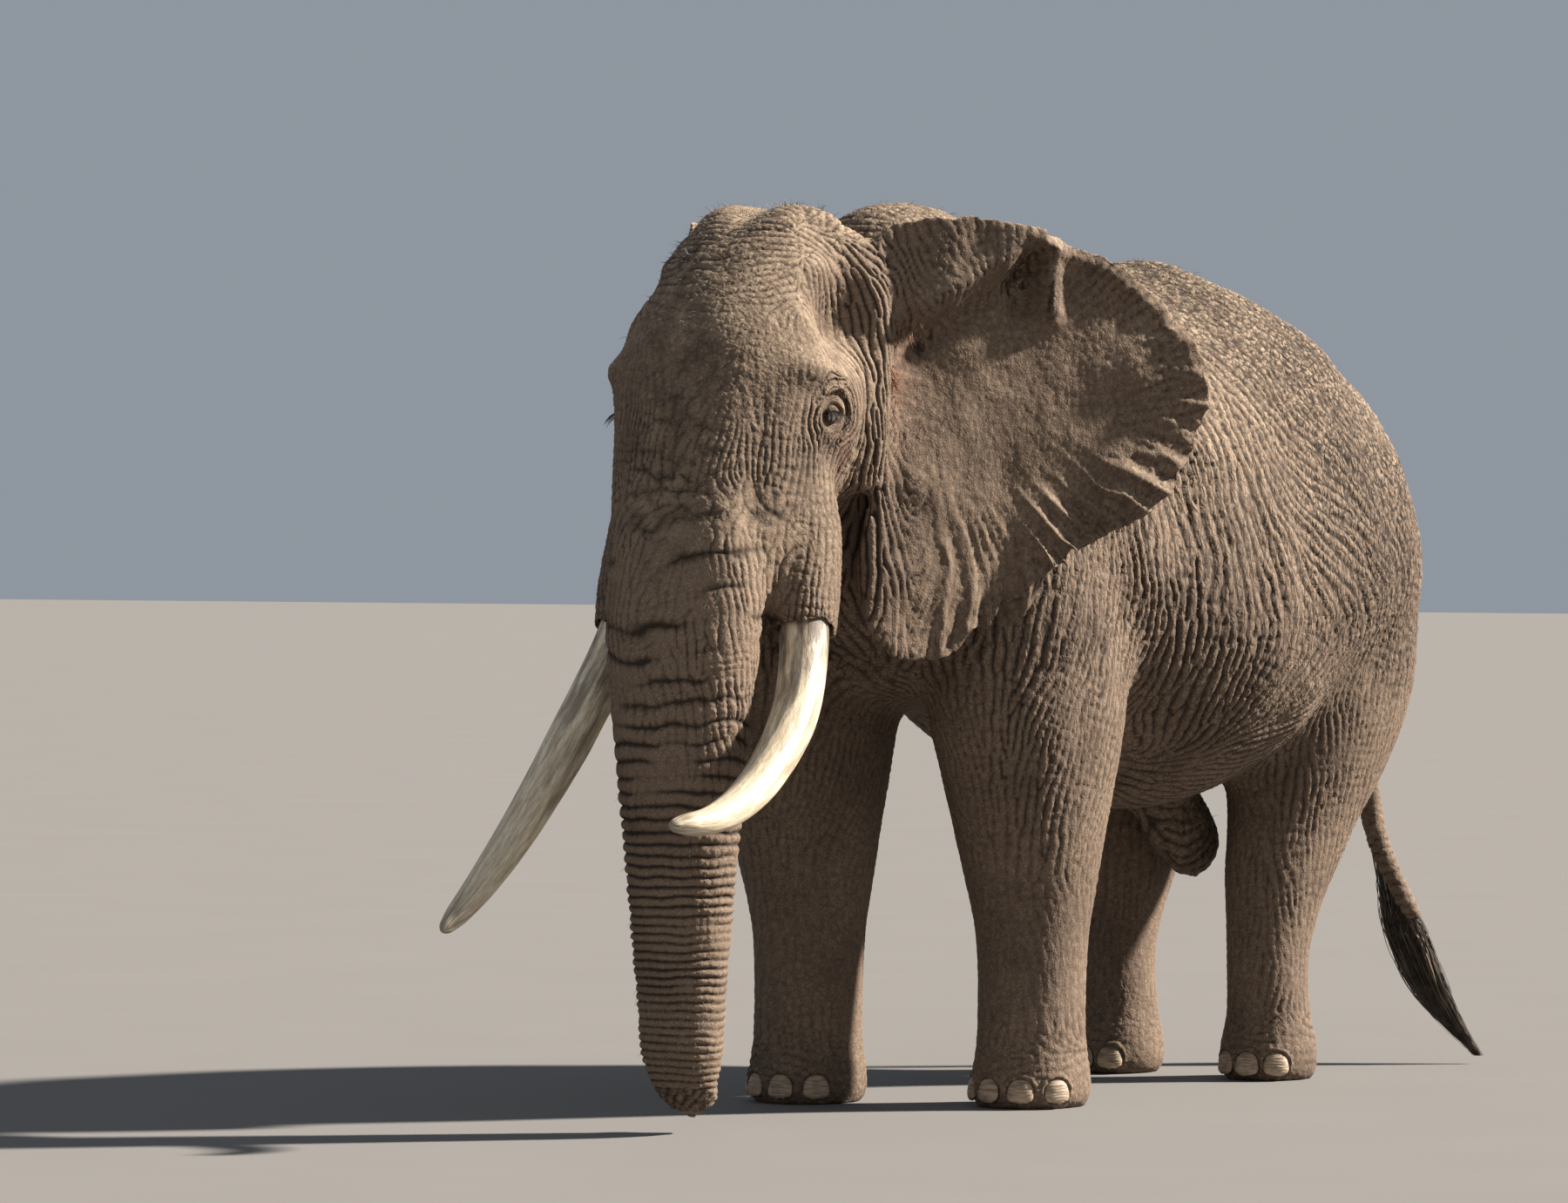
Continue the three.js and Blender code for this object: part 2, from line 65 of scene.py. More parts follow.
# ---------------- driving sizes, in millimetres
SHOULDER_HEIGHT = 3350
HIP_HEIGHT = 3170
BELLY_CLEARANCE = 1060
BODY_HALF_WIDTH = 872
CHEST_END, RUMP_END = -1480, 1710  # where the body's loft starts and ends, along the animal
LEG_TOP = 2450  # where the legs' lofts end, inside the body
HEAD_PLACE = np.array([90.0, -2240.0, 0.0])
HEAD_YAW = math.radians(13)
LEFT = np.array([math.cos(HEAD_YAW), math.sin(HEAD_YAW), 0.0])
BACK = np.array([-math.sin(HEAD_YAW), math.cos(HEAD_YAW), 0.0])
UP = np.array([0.0, 0.0, 1.0])
X_AXIS = np.array([1.0, 0.0, 0.0])
EYE = {"across": 404, "back": 25, "height": 2545, "radius": 20}
LID = {"half": 33, "upper": 15, "lower": 11, "thick": 4, "droop": 2}
TUSK_RADIUS = 86
SHEATH_END = 1755  # height of the lips from which the tusks come
NAIL = {"half": 50, "thick": 22, "height": 46, "level": 66, "apart": math.radians(36)}
FOLD_DEPTH = 1.7  # how much deeper the folds are than the table of their lie says
PAINTED_SHADE_DARKEST_AT = 6.0  # depth at which the painted shade of a crease is darkest


def in_head(across, back, height):
    """A point of the head: to its left, back from the axis between the eyes, and up."""
    place = HEAD_PLACE + across * LEFT + back * BACK
    place[2] = height
    return place


def eye_centre(side):
    return in_head(side * EYE["across"], EYE["back"], EYE["height"])


# The frame's origin in these millimetres, found from where the left eye stands in the frame.
EYE_BOX = np.array(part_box("eye_left"))
ORIGIN = eye_centre(1) - EYE_BOX.mean(0) / MM


def to_frame(points):
    """Points in the frame's metres, from points in the animal's millimetres."""
    return (np.asarray(points, float) - ORIGIN) * MM


# ---------------- curves
def smoothstep(x, low, high):
    """From 0 at low to 1 at high, smoothly."""
    t = np.clip((x - low) / (high - low), 0, 1)
    return t * t * (3 - 2 * t)


def bell(x, middle, half):
    """1 at the middle, falling off on both sides."""
    return np.exp(-(((x - middle) / half) ** 2))


def lerp(a, b, t):
    return a + (b - a) * t


def unit(v):
    return v / np.maximum(np.linalg.norm(v, axis=-1, keepdims=True), 1e-9)


def profile(knots):
    """A smooth curve through (position, value) knots, held flat beyond both ends."""
    x, v = np.array(sorted(knots), float).T
    after, before = np.minimum(np.arange(len(x)) + 1, len(x) - 1), np.maximum(np.arange(len(x)) - 1, 0)
    slope = (v[after] - v[before]) / (x[after] - x[before])

    def at(q):
        q = np.clip(q, x[0], x[-1])
        i = np.clip(np.searchsorted(x, q, "right") - 1, 0, len(x) - 2)
        span = x[i + 1] - x[i]
        t = (q - x[i]) / span
        rise = t * t * (3 - 2 * t)
        lean = slope[i] * t * (1 - t) ** 2 - slope[i + 1] * t * t * (1 - t)
        return v[i] + (v[i + 1] - v[i]) * rise + span * lean

    return at


def spline(points, closed=False, dense=40):
    """Points along a smooth curve through the given ones, knotted by the root of their spacing."""
    p = np.array(points, float)
    if closed:
        p = np.vstack([p[-1], p, p[0], p[1]])
    else:
        p = np.vstack([2 * p[0] - p[1], p, 2 * p[-1] - p[-2]])
    t = np.arange(dense)[:, None] / dense
    run = []
    for a, b, c, d in zip(p, p[1:], p[2:], p[3:]):
        ab, bc, cd = (np.sqrt(np.linalg.norm(e)) for e in (b - a, c - b, d - c))
        start = ((b - a) / ab - (c - a) / (ab + bc) + (c - b) / bc) * bc
        end = ((c - b) / bc - (d - b) / (bc + cd) + (d - c) / cd) * bc
        square, cube = -3 * b + 3 * c - 2 * start - end, 2 * b - 2 * c + start + end
        run.append(b + start * t + square * t**2 + cube * t**3)
    if not closed:
        run.append(p[-2][None])
    return np.vstack(run)


def evenly(run, count):
    """(places, directions) at count even steps along a run of points."""
    far = np.r_[0, np.cumsum(np.linalg.norm(np.diff(run, axis=0), axis=1))]
    at = np.linspace(0, far[-1], count)
    places = np.stack([np.interp(at, far, run[:, k]) for k in range(3)], 1)
    return places, unit(np.gradient(places, axis=0))


# ---------------- lofts
def oval(centre, across, up, half, above, below, power=2.0, sides=64):
    """Rings of points, one for each row of centre: ovals with their own reach above and below."""

    def bent(v):
        return np.sign(v) * np.abs(v) ** (2 / power)

    def column(size):
        return np.broadcast_to(np.asarray(size, float), (len(centre),))[:, None]

    def rows(direction):
        return np.broadcast_to(direction, centre.shape)[:, None, :]

    angle = TURN * (np.arange(sides) + 0.5) / sides
    c, s = bent(np.cos(angle)), bent(np.sin(angle))
    reach = np.where(s > 0, column(above), column(below)) * s
    return centre[:, None] + rows(across) * (column(half) * c)[..., None] + rows(up) * reach[..., None]


def loft(rings):
    """(points, faces) of the closed surface through the rings, with a fan over each end."""
    rows, sides = rings.shape[:2]
    points = np.vstack([rings.reshape(-1, 3), rings[0].mean(0), rings[-1].mean(0)])
    i, k = np.meshgrid(np.arange(rows - 1), np.arange(sides), indexing="ij")
    a, b = (i * sides + k).ravel(), (i * sides + (k + 1) % sides).ravel()
    faces = np.stack([a, b, b + sides, a + sides], 1).tolist()
    for ring, middle, step in ((0, len(points) - 2, -1), (rows - 1, len(points) - 1, 1)):
        for k in range(sides):
            pair = (ring * sides + k, ring * sides + (k + 1) % sides)
            faces.append((middle, *pair[::step]))
    return points, faces


def sweep(line, across, size_at, sections, sides=48, power=2.0):
    """A loft along a smooth line; size_at gives (half, above, below) for each share of its length."""
    places, along = evenly(spline(line), sections)
    up = unit(np.cross(across, along))
    half, above, below = size_at(np.linspace(0, 1, sections), places)
    return loft(oval(places, across, up, half, above, below, power, sides))


# ---------------- body
back_line = profile([
    (CHEST_END, 3080), (-1300, 3290), (-1080, SHOULDER_HEIGHT), (-800, 3290), (-450, 3130), (-80, 3055),
    (220, 3095), (480, HIP_HEIGHT), (700, 3125), (900, 3035), (1100, 2940), (1320, 2830),
    (1520, 2590), (1640, 2350), (RUMP_END, 2160),
])
belly_line = profile([
    (CHEST_END, 1800), (-1250, 1560), (-1000, 1500), (-600, 1400), (-150, 1190), (250, BELLY_CLEARANCE),
    (600, 1100), (900, 1230), (1200, 1380), (1500, 1500), (RUMP_END, 1680),
])
flank_line = profile([
    (CHEST_END, 330), (-1300, 520), (-1000, 650), (-600, 730), (-200, 815), (200, BODY_HALF_WIDTH),
    (600, 882), (900, 878), (1150, 838), (1350, 760), (1520, 640), (1640, 490), (RUMP_END, 330),
])
widest_line = profile([
    (CHEST_END, 2300), (-1000, 2150), (-200, 1900), (300, 1880), (900, 2030), (RUMP_END, 1930),
])

# Each row: height, centre outward and back from the foot's, half width, reach forward and back.
FRONT_LEG = [
    (0, 0, 0, 196, 210, 200), (45, 0, 0, 214, 230, 214), (130, 0, 0, 214, 230, 214),
    (240, 0, 0, 198, 210, 198), (620, 0, 0, 202, 214, 220), (830, 0, -5, 232, 258, 256),
    (1030, 2, -14, 266, 312, 300), (1230, 4, -24, 296, 372, 356), (1430, 8, -44, 322, 414, 416),
    (1630, 16, -80, 320, 400, 430), (1850, 20, -120, 325, 390, 420), (2150, 10, -160, 300, 370, 390),
    (LEG_TOP, -20, -190, 240, 320, 320),
]
HIND_LEG = [
    (0, 0, 0, 164, 178, 170), (45, 0, 0, 182, 198, 184), (130, 0, 0, 182, 196, 182),
    (240, 0, 0, 160, 172, 164), (450, 0, -10, 148, 174, 172), (620, 5, 10, 164, 198, 200),
    (790, 12, 55, 194, 246, 246), (1000, 28, 125, 226, 300, 296), (1200, 50, 175, 268, 370, 392),
    (1470, 78, 195, 310, 450, 486), (1800, 90, 175, 330, 480, 510), (2150, 70, 110, 300, 430, 460),
    (LEG_TOP, 20, 40, 200, 260, 280),
]
LEGS = {
    "front_left": {"table": FRONT_LEG, "side": 1, "foot": (400, -775), "nails": 4},
    "front_right": {"table": FRONT_LEG, "side": -1, "foot": (-400, -1085), "nails": 4},
    "hind_left": {"table": HIND_LEG, "side": 1, "foot": (350, 895), "nails": 3},
    "hind_right": {"table": HIND_LEG, "side": -1, "foot": (-335, 850), "nails": 3},
}


def torso():
    y = np.linspace(CHEST_END, RUMP_END, 110)
    level = widest_line(y)
    centre = np.stack([0 * y, y, level], 1)
    above, below = back_line(y) - level, level - belly_line(y)
    return loft(oval(centre, X_AXIS, UP, flank_line(y), above, below, 2.02, 120))


def groin():
    """The relaxed sheath of a bull, which hangs under the groin."""
    size = profile([(0, 90), (0.5, 145), (0.85, 140), (1, 76)])
    line = [(0, 420, 1240), (0, 680, 1070), (0, 860, 915), (0, 965, 825)]
    return sweep(line, X_AXIS, lambda t, _: (size(t) * 0.76, size(t), size(t)), 24)


def columns_at(table, height):
    """Each column of a table whose rows start with their height, read off smoothly at these heights."""
    heights, *columns = zip(*table)
    return [profile(zip(heights, column))(height) for column in columns]


def leg_sizes(leg, height):
    """The leg's middle (x, y) and its half width and reach forward and back at these heights."""
    out, back, half, fore, aft = columns_at(leg["table"], height)
    return leg["foot"][0] + leg["side"] * out, leg["foot"][1] + back, half, fore, aft


def leg_form(leg):
    height = np.unique(np.r_[0, 12, 28, 45, 70, np.linspace(90, LEG_TOP, 70)])
    x, y, half, fore, aft = leg_sizes(leg, height)
    middle = np.stack([x, y, height], 1)
    return loft(oval(middle, X_AXIS, np.array([0, -1.0, 0]), half, fore, aft, 2.1, 64))


def nail_seats(leg):
    """(middle, the way it faces) of each toenail round the front of a foot."""
    x, y, half, fore, _ = leg_sizes(leg, NAIL["level"])
    for k in range(leg["nails"]):
        turn = (k - (leg["nails"] - 1) / 2) * NAIL["apart"] + leg["side"] * math.radians(8)
        out = np.array([math.sin(turn), -math.cos(turn), 0.0])
        yield np.array([x + half * out[0], y + fore * out[1], NAIL["level"]]) - 2 * out, out


# ---------------- head
# Each row: height, half width, front and back of the skull from the eye axis.
SKULL = [
    (3290, 90, 330, 560), (3268, 190, 200, 690), (3180, 262, 60, 730), (3080, 305, -60, 740),
    (2960, 342, -175, 740), (2820, 398, -262, 730), (2620, 430, -335, 700), (2450, 408, -385, 640),
    (2300, 378, -430, 500), (2150, 345, -478, 330), (2000, 310, -510, 150), (1890, 270, -520, 20),
    (1800, 200, -500, -100),
]
TRUNK_LINE = [
    (-190, 2420), (-268, 2160), (-345, 1850), (-370, 1500), (-375, 1150), (-372, 800), (-370, 500),
    (-362, 290), (-325, 170), (-250, 125),
]
trunk_half = profile([
    (120, 84), (180, 118), (290, 146), (500, 162), (800, 187), (1150, 219), (1500, 254), (1850, 292),
    (2160, 300), (2420, 240),
])
trunk_depth = profile([
    (120, 66), (180, 96), (290, 122), (500, 136), (800, 156), (1150, 177), (1500, 194), (1850, 206),
    (2160, 205), (2420, 150),
])
TUSK_LINES = {
    1: [(335, -60, 1930), (360, -112, 1740), (390, -270, 1480), (365, -540, 1240), (305, -780, 1130),
        (225, -950, 1115)],
    -1: [(-325, -60, 1930), (-358, -125, 1740), (-430, -320, 1440), (-505, -570, 1130),
         (-575, -820, 880), (-620, -1015, 735)],
}

SHEATH_LINE = [(250, 30, 2440), (284, 15, 2200), (320, -35, 1950), (345, -80, 1765)]
EAR_ROOT_LINE = [
    (120, 330, 3150), (255, 385, 3120), (345, 405, 3010), (375, 400, 2850), (382, 390, 2650),
    (372, 370, 2450), (340, 330, 2280),
]
JAW_LINE = [(0, 500, 2300), (0, 330, 2170), (0, 120, 2020), (0, -60, 1890), (0, -180, 1790)]


def skull():
    z = np.linspace(SKULL[-1][0], SKULL[0][0], 90)
    half, front, back = columns_at(SKULL, z)
    middle = front * 0.55 + back * 0.45
    centre = HEAD_PLACE * [1, 1, 0] + middle[:, None] * BACK
    centre[:, 2] = z
    return loft(oval(centre, LEFT, BACK, half, back - middle, middle - front, 2.3, 96))


def trunk():
    def size_at(_, places):
        depth = trunk_depth(places[:, 2])
        return trunk_half(places[:, 2]), depth, depth

    line = [in_head(0, back, height) for back, height in TRUNK_LINE]
    return sweep(line, LEFT, size_at, 110, 60, 2.15)


def tusk_sheath(side):
    line = [in_head(side * across, back, height) for across, back, height in SHEATH_LINE]
    size = profile([(0, 100), (0.35, 142), (0.75, 136), (1, 116)])
    return sweep(line, LEFT, lambda t, _: (size(t), size(t) * 1.15, size(t) * 1.15), 40)


def sheath_end(side):
    """(where a tusk leaves its sheath, the way it points there)."""
    places, along = evenly(spline([in_head(*point) for point in TUSK_LINES[side]]), 200)
    k = int(np.argmin(np.abs(places[:, 2] - SHEATH_END)))
    return places[k], along[k]


def ear_root(side):
    """The muscle that carries the ear, from the crown down behind the cheek."""
    set_back = 12 if side > 0 else 40
    line = [in_head(side * across, back + set_back, height) for across, back, height in EAR_ROOT_LINE]
    size = profile([(0, 95), (0.2, 118), (0.4, 104), (0.7, 88), (1, 70)])
    return sweep(line, BACK, lambda t, _: (size(t), size(t), size(t)), 44)


def jaw():
    line = [in_head(*place) for place in JAW_LINE]
    half = profile([(0, 230), (0.35, 270), (0.7, 190), (1, 60)])
    return sweep(line, LEFT, lambda t, _: (half(t), 170 - 100 * t, 170 - 100 * t), 36)


def neck():
    line = [in_head(0, 330, 2560), in_head(-10, 620, 2520), (0, -1400, 2450), (0, -1100, 2380)]
    half = profile([(0, 360), (0.4, 420), (0.75, 520), (1, 600)])
    above = profile([(0, 560), (0.35, 640), (0.7, 760), (1, 850)])
    below = profile([(0, 420), (0.35, 520), (0.7, 700), (1, 800)])
    return sweep(line, X_AXIS, lambda t, _: (half(t), above(t), below(t)), 40, 90)


# ---------------- ears and tail
# The ear's margin in its own plane: distance out from the root line, height above the floor.
EAR_MARGIN = [
    (-60, 3200), (170, 3262), (440, 3245), (680, 3175), (880, 3090), (1060, 2960), (1180, 2800),
    (1225, 2640), (1170, 2440), (1040, 2230), (740, 2060), (560, 1940), (400, 1790), (290, 1690),
    (50, 1655), (-85, 1740), (-130, 1960), (-90, 2240), (-70, 2540), (-70, 2900),
]
EAR_MIDDLE = np.array([430.0, 2600.0])
EARS = {
    "left": {"side": 1, "root": in_head(450, 470, 0), "out": math.radians(55), "lean": 0},
    "right": {"side": -1, "root": in_head(-440, 560, 0), "out": math.radians(70), "lean": 70},
}
EAR_STOCK = 22  # half the ear's thickness while it is joined to the head, before it is thinned
EAR_RIM = spline([(u, z, 0) for u, z in EAR_MARGIN], closed=True)[:, :2]


def ear_axes(ear):
    """(the way out along the ear, the way that its front faces)."""
    out = ear["out"]
    along = np.array([ear["side"] * math.cos(out), math.sin(out), 0])
    return along, np.array([ear["side"] * math.sin(out), -math.cos(out), 0])


def ear_polar(u, z):
    """(share of the way from the ear's middle to its rim, angle) of places in the ear's plane."""
    rim = EAR_RIM - EAR_MIDDLE
    rim_angle = np.arctan2(rim[:, 1], rim[:, 0])
    order = np.argsort(rim_angle)
    far = np.linalg.norm(rim, axis=1)[order]
    du, dz = u - EAR_MIDDLE[0], z - EAR_MIDDLE[1]
    angle = np.arctan2(dz, du)
    return np.hypot(du, dz) / np.interp(angle, rim_angle[order], far, period=TURN), angle


def ear_camber(u, z, reach, angle, lean):
    """How far the ear stands in front of its plane: rolled at the top, cupped, wavy at the rim."""
    roll = 100 * smoothstep(z - 0.5 * u, 2660, 2920) * smoothstep(u, -80, 260)
    fade = 1 - 0.75 * smoothstep(u, 520, 900)
    cup = -70 * np.sin(math.pi * np.clip(u / 1200, 0, 1)) * (1 - reach * 0.4)
    wave = 24 * reach**3 * np.sin(angle * 9) * smoothstep(u, 100, 500)
    tuck = lean * smoothstep(z, 2700, 3250) * (1 - smoothstep(u, 100, 800))
    return roll * fade + cup + wave - tuck


def ear_form(ear, rings=16):
    along, facing = ear_axes(ear)
    rim = EAR_RIM[:: max(1, len(EAR_RIM) // 160)]
    shares = (np.arange(1, rings + 1) / rings) ** 0.8
    u, z = (lerp(EAR_MIDDLE[k], rim[None, :, k], shares[:, None]) for k in (0, 1))
    reach = np.broadcast_to(shares[:, None], u.shape)
    angle = np.arctan2(z - EAR_MIDDLE[1], u - EAR_MIDDLE[0])
    w = ear_camber(u, z, reach, angle, ear["lean"])

    def face(offset):
        p = ear["root"] + along * u[..., None] + facing * (w + offset)[..., None]
        p[..., 2] = z
        return p

    return loft(np.vstack([face(EAR_STOCK), face(-EAR_STOCK)[::-1]]))


TAIL_LINE = [
    (0, 1500, 2440), (10, 1690, 2290), (45, 1795, 1950), (105, 1820, 1500), (180, 1850, 1150),
    (225, 1870, 900), (290, 1890, 740), (375, 1915, 575),
]
tail_size = profile([(0, 130), (0.2, 80), (0.5, 48), (1, 28)])


def tail():
    return sweep(TAIL_LINE, X_AXIS, lambda t, _: (tail_size(t),) * 3, 80, 20)


# ---------------- meshes
def add_object(name, data):
    piece = bpy.data.objects.new(name, data)
    bpy.context.scene.collection.objects.link(piece)
    return piece


def mesh_of(name, points, faces):
    """A smooth-shaded mesh in the frame, from points in millimetres."""
    mesh = bpy.data.meshes.new(name)
    mesh.from_pydata(to_frame(points).tolist(), [], faces)
    mesh.update()
    mesh.shade_smooth()
    return mesh


def values_of(items, key, kind, width=1):
    """One value, or one row of values, from each of a mesh's items."""
    found = np.empty(len(items) * width, kind)
    items.foreach_get(key, found)
    return found if width == 1 else found.reshape(-1, width)


def points_of(mesh):
    """The mesh's points, in millimetres."""
    return values_of(mesh.vertices, "co", np.float32, 3).astype(float) / MM + ORIGIN


def set_points(mesh, points):
    mesh.vertices.foreach_set("co", to_frame(points).astype(np.float32).ravel())
    mesh.update()


def normals_of(mesh):
    return values_of(mesh.vertex_normals, "vector", np.float32, 3).astype(float)


def corners_of(mesh):
    """The number of the point at each corner of the mesh's faces."""
    return values_of(mesh.loops, "vertex_index", np.int32)


def write_values(mesh, name, values):
    layer = mesh.attributes.new(name, "FLOAT", "POINT")
    layer.data.foreach_set("value", np.asarray(values, np.float32))


def write_map(mesh, places):
    """Lays the mesh out on its flat map, from the place of each corner."""
    layer = mesh.uv_layers.new(name="OFBake", do_init=False)
    layer.uv.foreach_set("vector", places.astype(np.float32).ravel())


def finished(mesh, **modifier):
    """The mesh with one modifier applied; kind names it, and the rest are its settings."""
    piece = add_object("work", mesh)
    made = piece.modifiers.new("work", modifier.pop("kind"))
    for key, value in modifier.items():
        setattr(made, key, value)
    graph = bpy.context.evaluated_depsgraph_get()
    result = bpy.data.meshes.new_from_object(piece.evaluated_get(graph))
    bpy.data.objects.remove(piece)
    bpy.data.meshes.remove(mesh)
    return result


RELAX_STEP = 0.6  # share of the way to its neighbours' mean that a point moves in a round
NORMALS_EVERY = 8  # rounds between two looks at which way the surface faces


def relaxed(mesh, rounds, weight, fill):
    """Smooths a mesh in rounds, so that the limbs flow into the body.

    Hollows move by the full weight, and the rest by fill as a share of it.
    """
    points, edges = points_of(mesh), values_of(mesh.edges, "vertices", np.int32, 2)
    count = len(points)
    first, second = np.r_[edges[:, 0], edges[:, 1]], np.r_[edges[:, 1], edges[:, 0]]
    degree = np.bincount(first, minlength=count)[:, None]
    for done in range(rounds):
        if done % NORMALS_EVERY == 0:
            set_points(mesh, points)
            normals = normals_of(mesh)
        mean = np.stack([np.bincount(first, points[second, k], count) for k in range(3)], 1) / degree
        step = mean - points
        hollow = (step * normals).sum(1) > 0
        points = points + step * (weight * np.where(hollow, RELAX_STEP, RELAX_STEP * fill))[:, None]
    set_points(mesh, points)


def split_faces(mesh, chosen):
    """Halves the edges of the faces whose middle is chosen, so that they hold finer forms."""
    work = bmesh.new()
    work.from_mesh(mesh)
    middles = np.array([f.calc_center_median() for f in work.faces]) / MM + ORIGIN
    keep = chosen(middles)
    edges = {edge for face, kept in zip(work.faces, keep) if kept for edge in face.edges}
    bmesh.ops.subdivide_edges(work, edges=list(edges), cuts=1, use_grid_fill=True)
    work.to_mesh(mesh)
    work.free()


# ---------------- noise
def lattice(p, size, seed, values):
    """(table of random values, cell of each point, place within it) on a grid of cells of this size."""
    q = (p - p.min(0)) / size + 1
    cell = np.floor(q).astype(np.int32)
    shape = tuple(cell.max(0) + 3)
    table = np.random.default_rng(seed).random((*shape, values), dtype=np.float32)
    flat = (cell[:, 0] * shape[1] + cell[:, 1]) * shape[2] + cell[:, 2]
    return table.reshape(-1, values), flat, (q - cell).astype(np.float32), shape


def noise(p, size, seed):
    """Soft lumps of about this size, from -1 to 1."""
    table, flat, f, shape = lattice(p, size, seed, 1)
    table = table[:, 0] * 2 - 1
    f = f * f * (3 - 2 * f)
    total = np.zeros(len(p), np.float32)
    for a, b, c in np.ndindex(2, 2, 2):
        share = (f[:, 0] if a else 1 - f[:, 0]) * (f[:, 1] if b else 1 - f[:, 1])
        share = share * (f[:, 2] if c else 1 - f[:, 2])
        total += share * table[flat + (a * shape[1] + b) * shape[2] + c]
    return total


def neighbours(flat, f, shape):
    """(cell, place of each point from that cell's corner) for the 27 cells round every point."""
    for a, b, c in np.ndindex(3, 3, 3):
        step = ((a - 1) * shape[1] + b - 1) * shape[2] + c - 1
        yield flat + step, f - np.array([a - 1, b - 1, c - 1], np.float32)


def ridges(p, across, spacing, reach, seed):
    """Folds that run square to across, this far apart: 1 along a crest and 0 in a crease.

    Wave packets with random phases are laid on a grid of cells as wide as reach, and added up. The
    creases branch and end as those of loose skin do.
    """
    table, flat, f, shape = lattice(p, reach, seed, 4)
    turn = (TURN * reach / spacing).astype(np.float32)
    across = across.astype(np.float32)
    even, odd = np.zeros(len(p), np.float32), np.zeros(len(p), np.float32)
    for cell, place in neighbours(flat, f, shape):
        packet = table[cell]
        away = place - packet[:, :3]
        near = 1 - (away * away).sum(1)
        hit = np.nonzero(near > 0)[0]
        phase = turn[hit] * (across[hit] * away[hit]).sum(1) + TURN * packet[hit, 3]
        even[hit] += near[hit] ** 2 * np.cos(phase)
        odd[hit] += near[hit] ** 2 * np.sin(phase)
    return np.abs(np.cos(np.arctan2(odd, even) / 2))


def cracks(p, size, seed):
    """Pads of about this size with cracks between them: 0 in a crack, rising inside a pad."""
    table, flat, f, shape = lattice(p, size, seed, 3)
    nearest = np.full(len(p), 9, np.float32)
    second = nearest.copy()
    for cell, place in neighbours(flat, f, shape):
        away = place - table[cell]
        far = np.sqrt((away * away).sum(1))
        second = np.minimum(second, np.maximum(far, nearest))
        nearest = np.minimum(nearest, far)
    return second - nearest


# ---------------- regions of the hide
class Regions:
    """Where each point of the hide lies: its place in the head, and its share of each region."""

    def __init__(self, p):
        self.p = p
        self.across = (p - HEAD_PLACE) @ LEFT
        self.back = (p - HEAD_PLACE) @ BACK
        self.height = p[:, 2]
        z = self.height
        heights, backs = np.array([row[::-1] for row in TRUNK_LINE][::-1]).T
        self.trunk_middle = np.interp(z, heights, backs)
        share = np.hypot(self.across / trunk_half(z), (self.back - self.trunk_middle) / trunk_depth(z))
        self.trunk = (1 - smoothstep(share, 1.15, 1.4)) * (1 - smoothstep(z, 2050, 2350))
        self.leg = {}
        for name, leg in LEGS.items():
            x, y, half, fore, aft = leg_sizes(leg, z)
            reach = np.where(p[:, 1] < y, fore, aft)
            share = np.hypot((p[:, 0] - x) / half, (p[:, 1] - y) / reach)
            self.leg[name] = (1 - smoothstep(share, 1.15, 1.45)) * (1 - smoothstep(z, 1350, 1750))
        self.ear = {name: self.in_ear(ear) for name, ear in EARS.items()}
        self.ears = sum(found["share"] for found in self.ear.values())
        self.head = (1 - smoothstep(self.back, 500, 720)) * smoothstep(z, 1650, 1750) * (1 - self.trunk)
        line, steps = evenly(spline(TAIL_LINE), 60)[0].astype(np.float32), np.linspace(0, 1, 60)
        far = np.full(len(p), 1e4)
        behind = np.nonzero(p[:, 1] > 1650)[0]
        gaps = np.linalg.norm(p[behind][:, None].astype(np.float32) - line, axis=2)
        far[behind] = (gaps / tail_size(steps)).min(1)
        self.tail = 1 - smoothstep(far, 1.3, 2.0)

    def only(self, chosen):
        """The same places for some of the points."""
        part = object.__new__(Regions)
        part.p = self.p[chosen]
        for name in ("across", "back", "height", "trunk_middle"):
            setattr(part, name, getattr(self, name)[chosen])
        part.ear = {name: {"u": at["u"][chosen]} for name, at in self.ear.items()}
        return part

    def in_ear(self, ear):
        along, facing = ear_axes(ear)
        u, w = (self.p - ear["root"]) @ along, (self.p - ear["root"]) @ facing
        reach, angle = ear_polar(u, self.height)
        camber = ear_camber(u, self.height, reach, angle, ear["lean"])
        near = 1 - smoothstep(np.abs(w - camber), 40, 75)
        share = near * (1 - smoothstep(reach, 1.08, 1.15)) * smoothstep(u, -70, 40)
        return {"u": u, "w": w, "reach": reach, "angle": angle, "camber": camber, "share": share}


# ---------------- the hide's larger forms
# Swells and hollows: how far from the middle plane, back, height, their reach each way, their height.
BODY_FORMS = [
    (600, -760, 2480, 150, 170, 430, 26),  # shoulder blade
    (760, -330, 2350, 240, 120, 480, -32),  # hollow behind the shoulder
    (600, -560, 1640, 120, 90, 120, 44),  # point of the elbow
    (640, -900, 1500, 200, 60, 260, -16),  # in front of the elbow
    (600, 880, 2850, 190, 190, 170, 34),  # point of the hip
    (860, 440, 2480, 260, 200, 280, -36),  # hollow of the flank
    (840, 1120, 2050, 200, 90, 400, 20),  # back edge of the thigh
    (520, 1420, 2380, 260, 160, 260, -22),  # hollow behind the hip
    (760, 540, 1430, 200, 150, 190, 34),  # fold from the flank to the stifle
    (0, 1000, 2990, 80, 560, 120, 30),  # ridge of the rump
    (0, -200, 3090, 90, 520, 120, 20),  # ridge of the back
    (270, 650, 3120, 120, 320, 120, -16),  # beside the loins
    (860, -60, 2050, 260, 90, 420, 14),  # ribs
    (880, 240, 2000, 260, 80, 420, 10),  # ribs
]
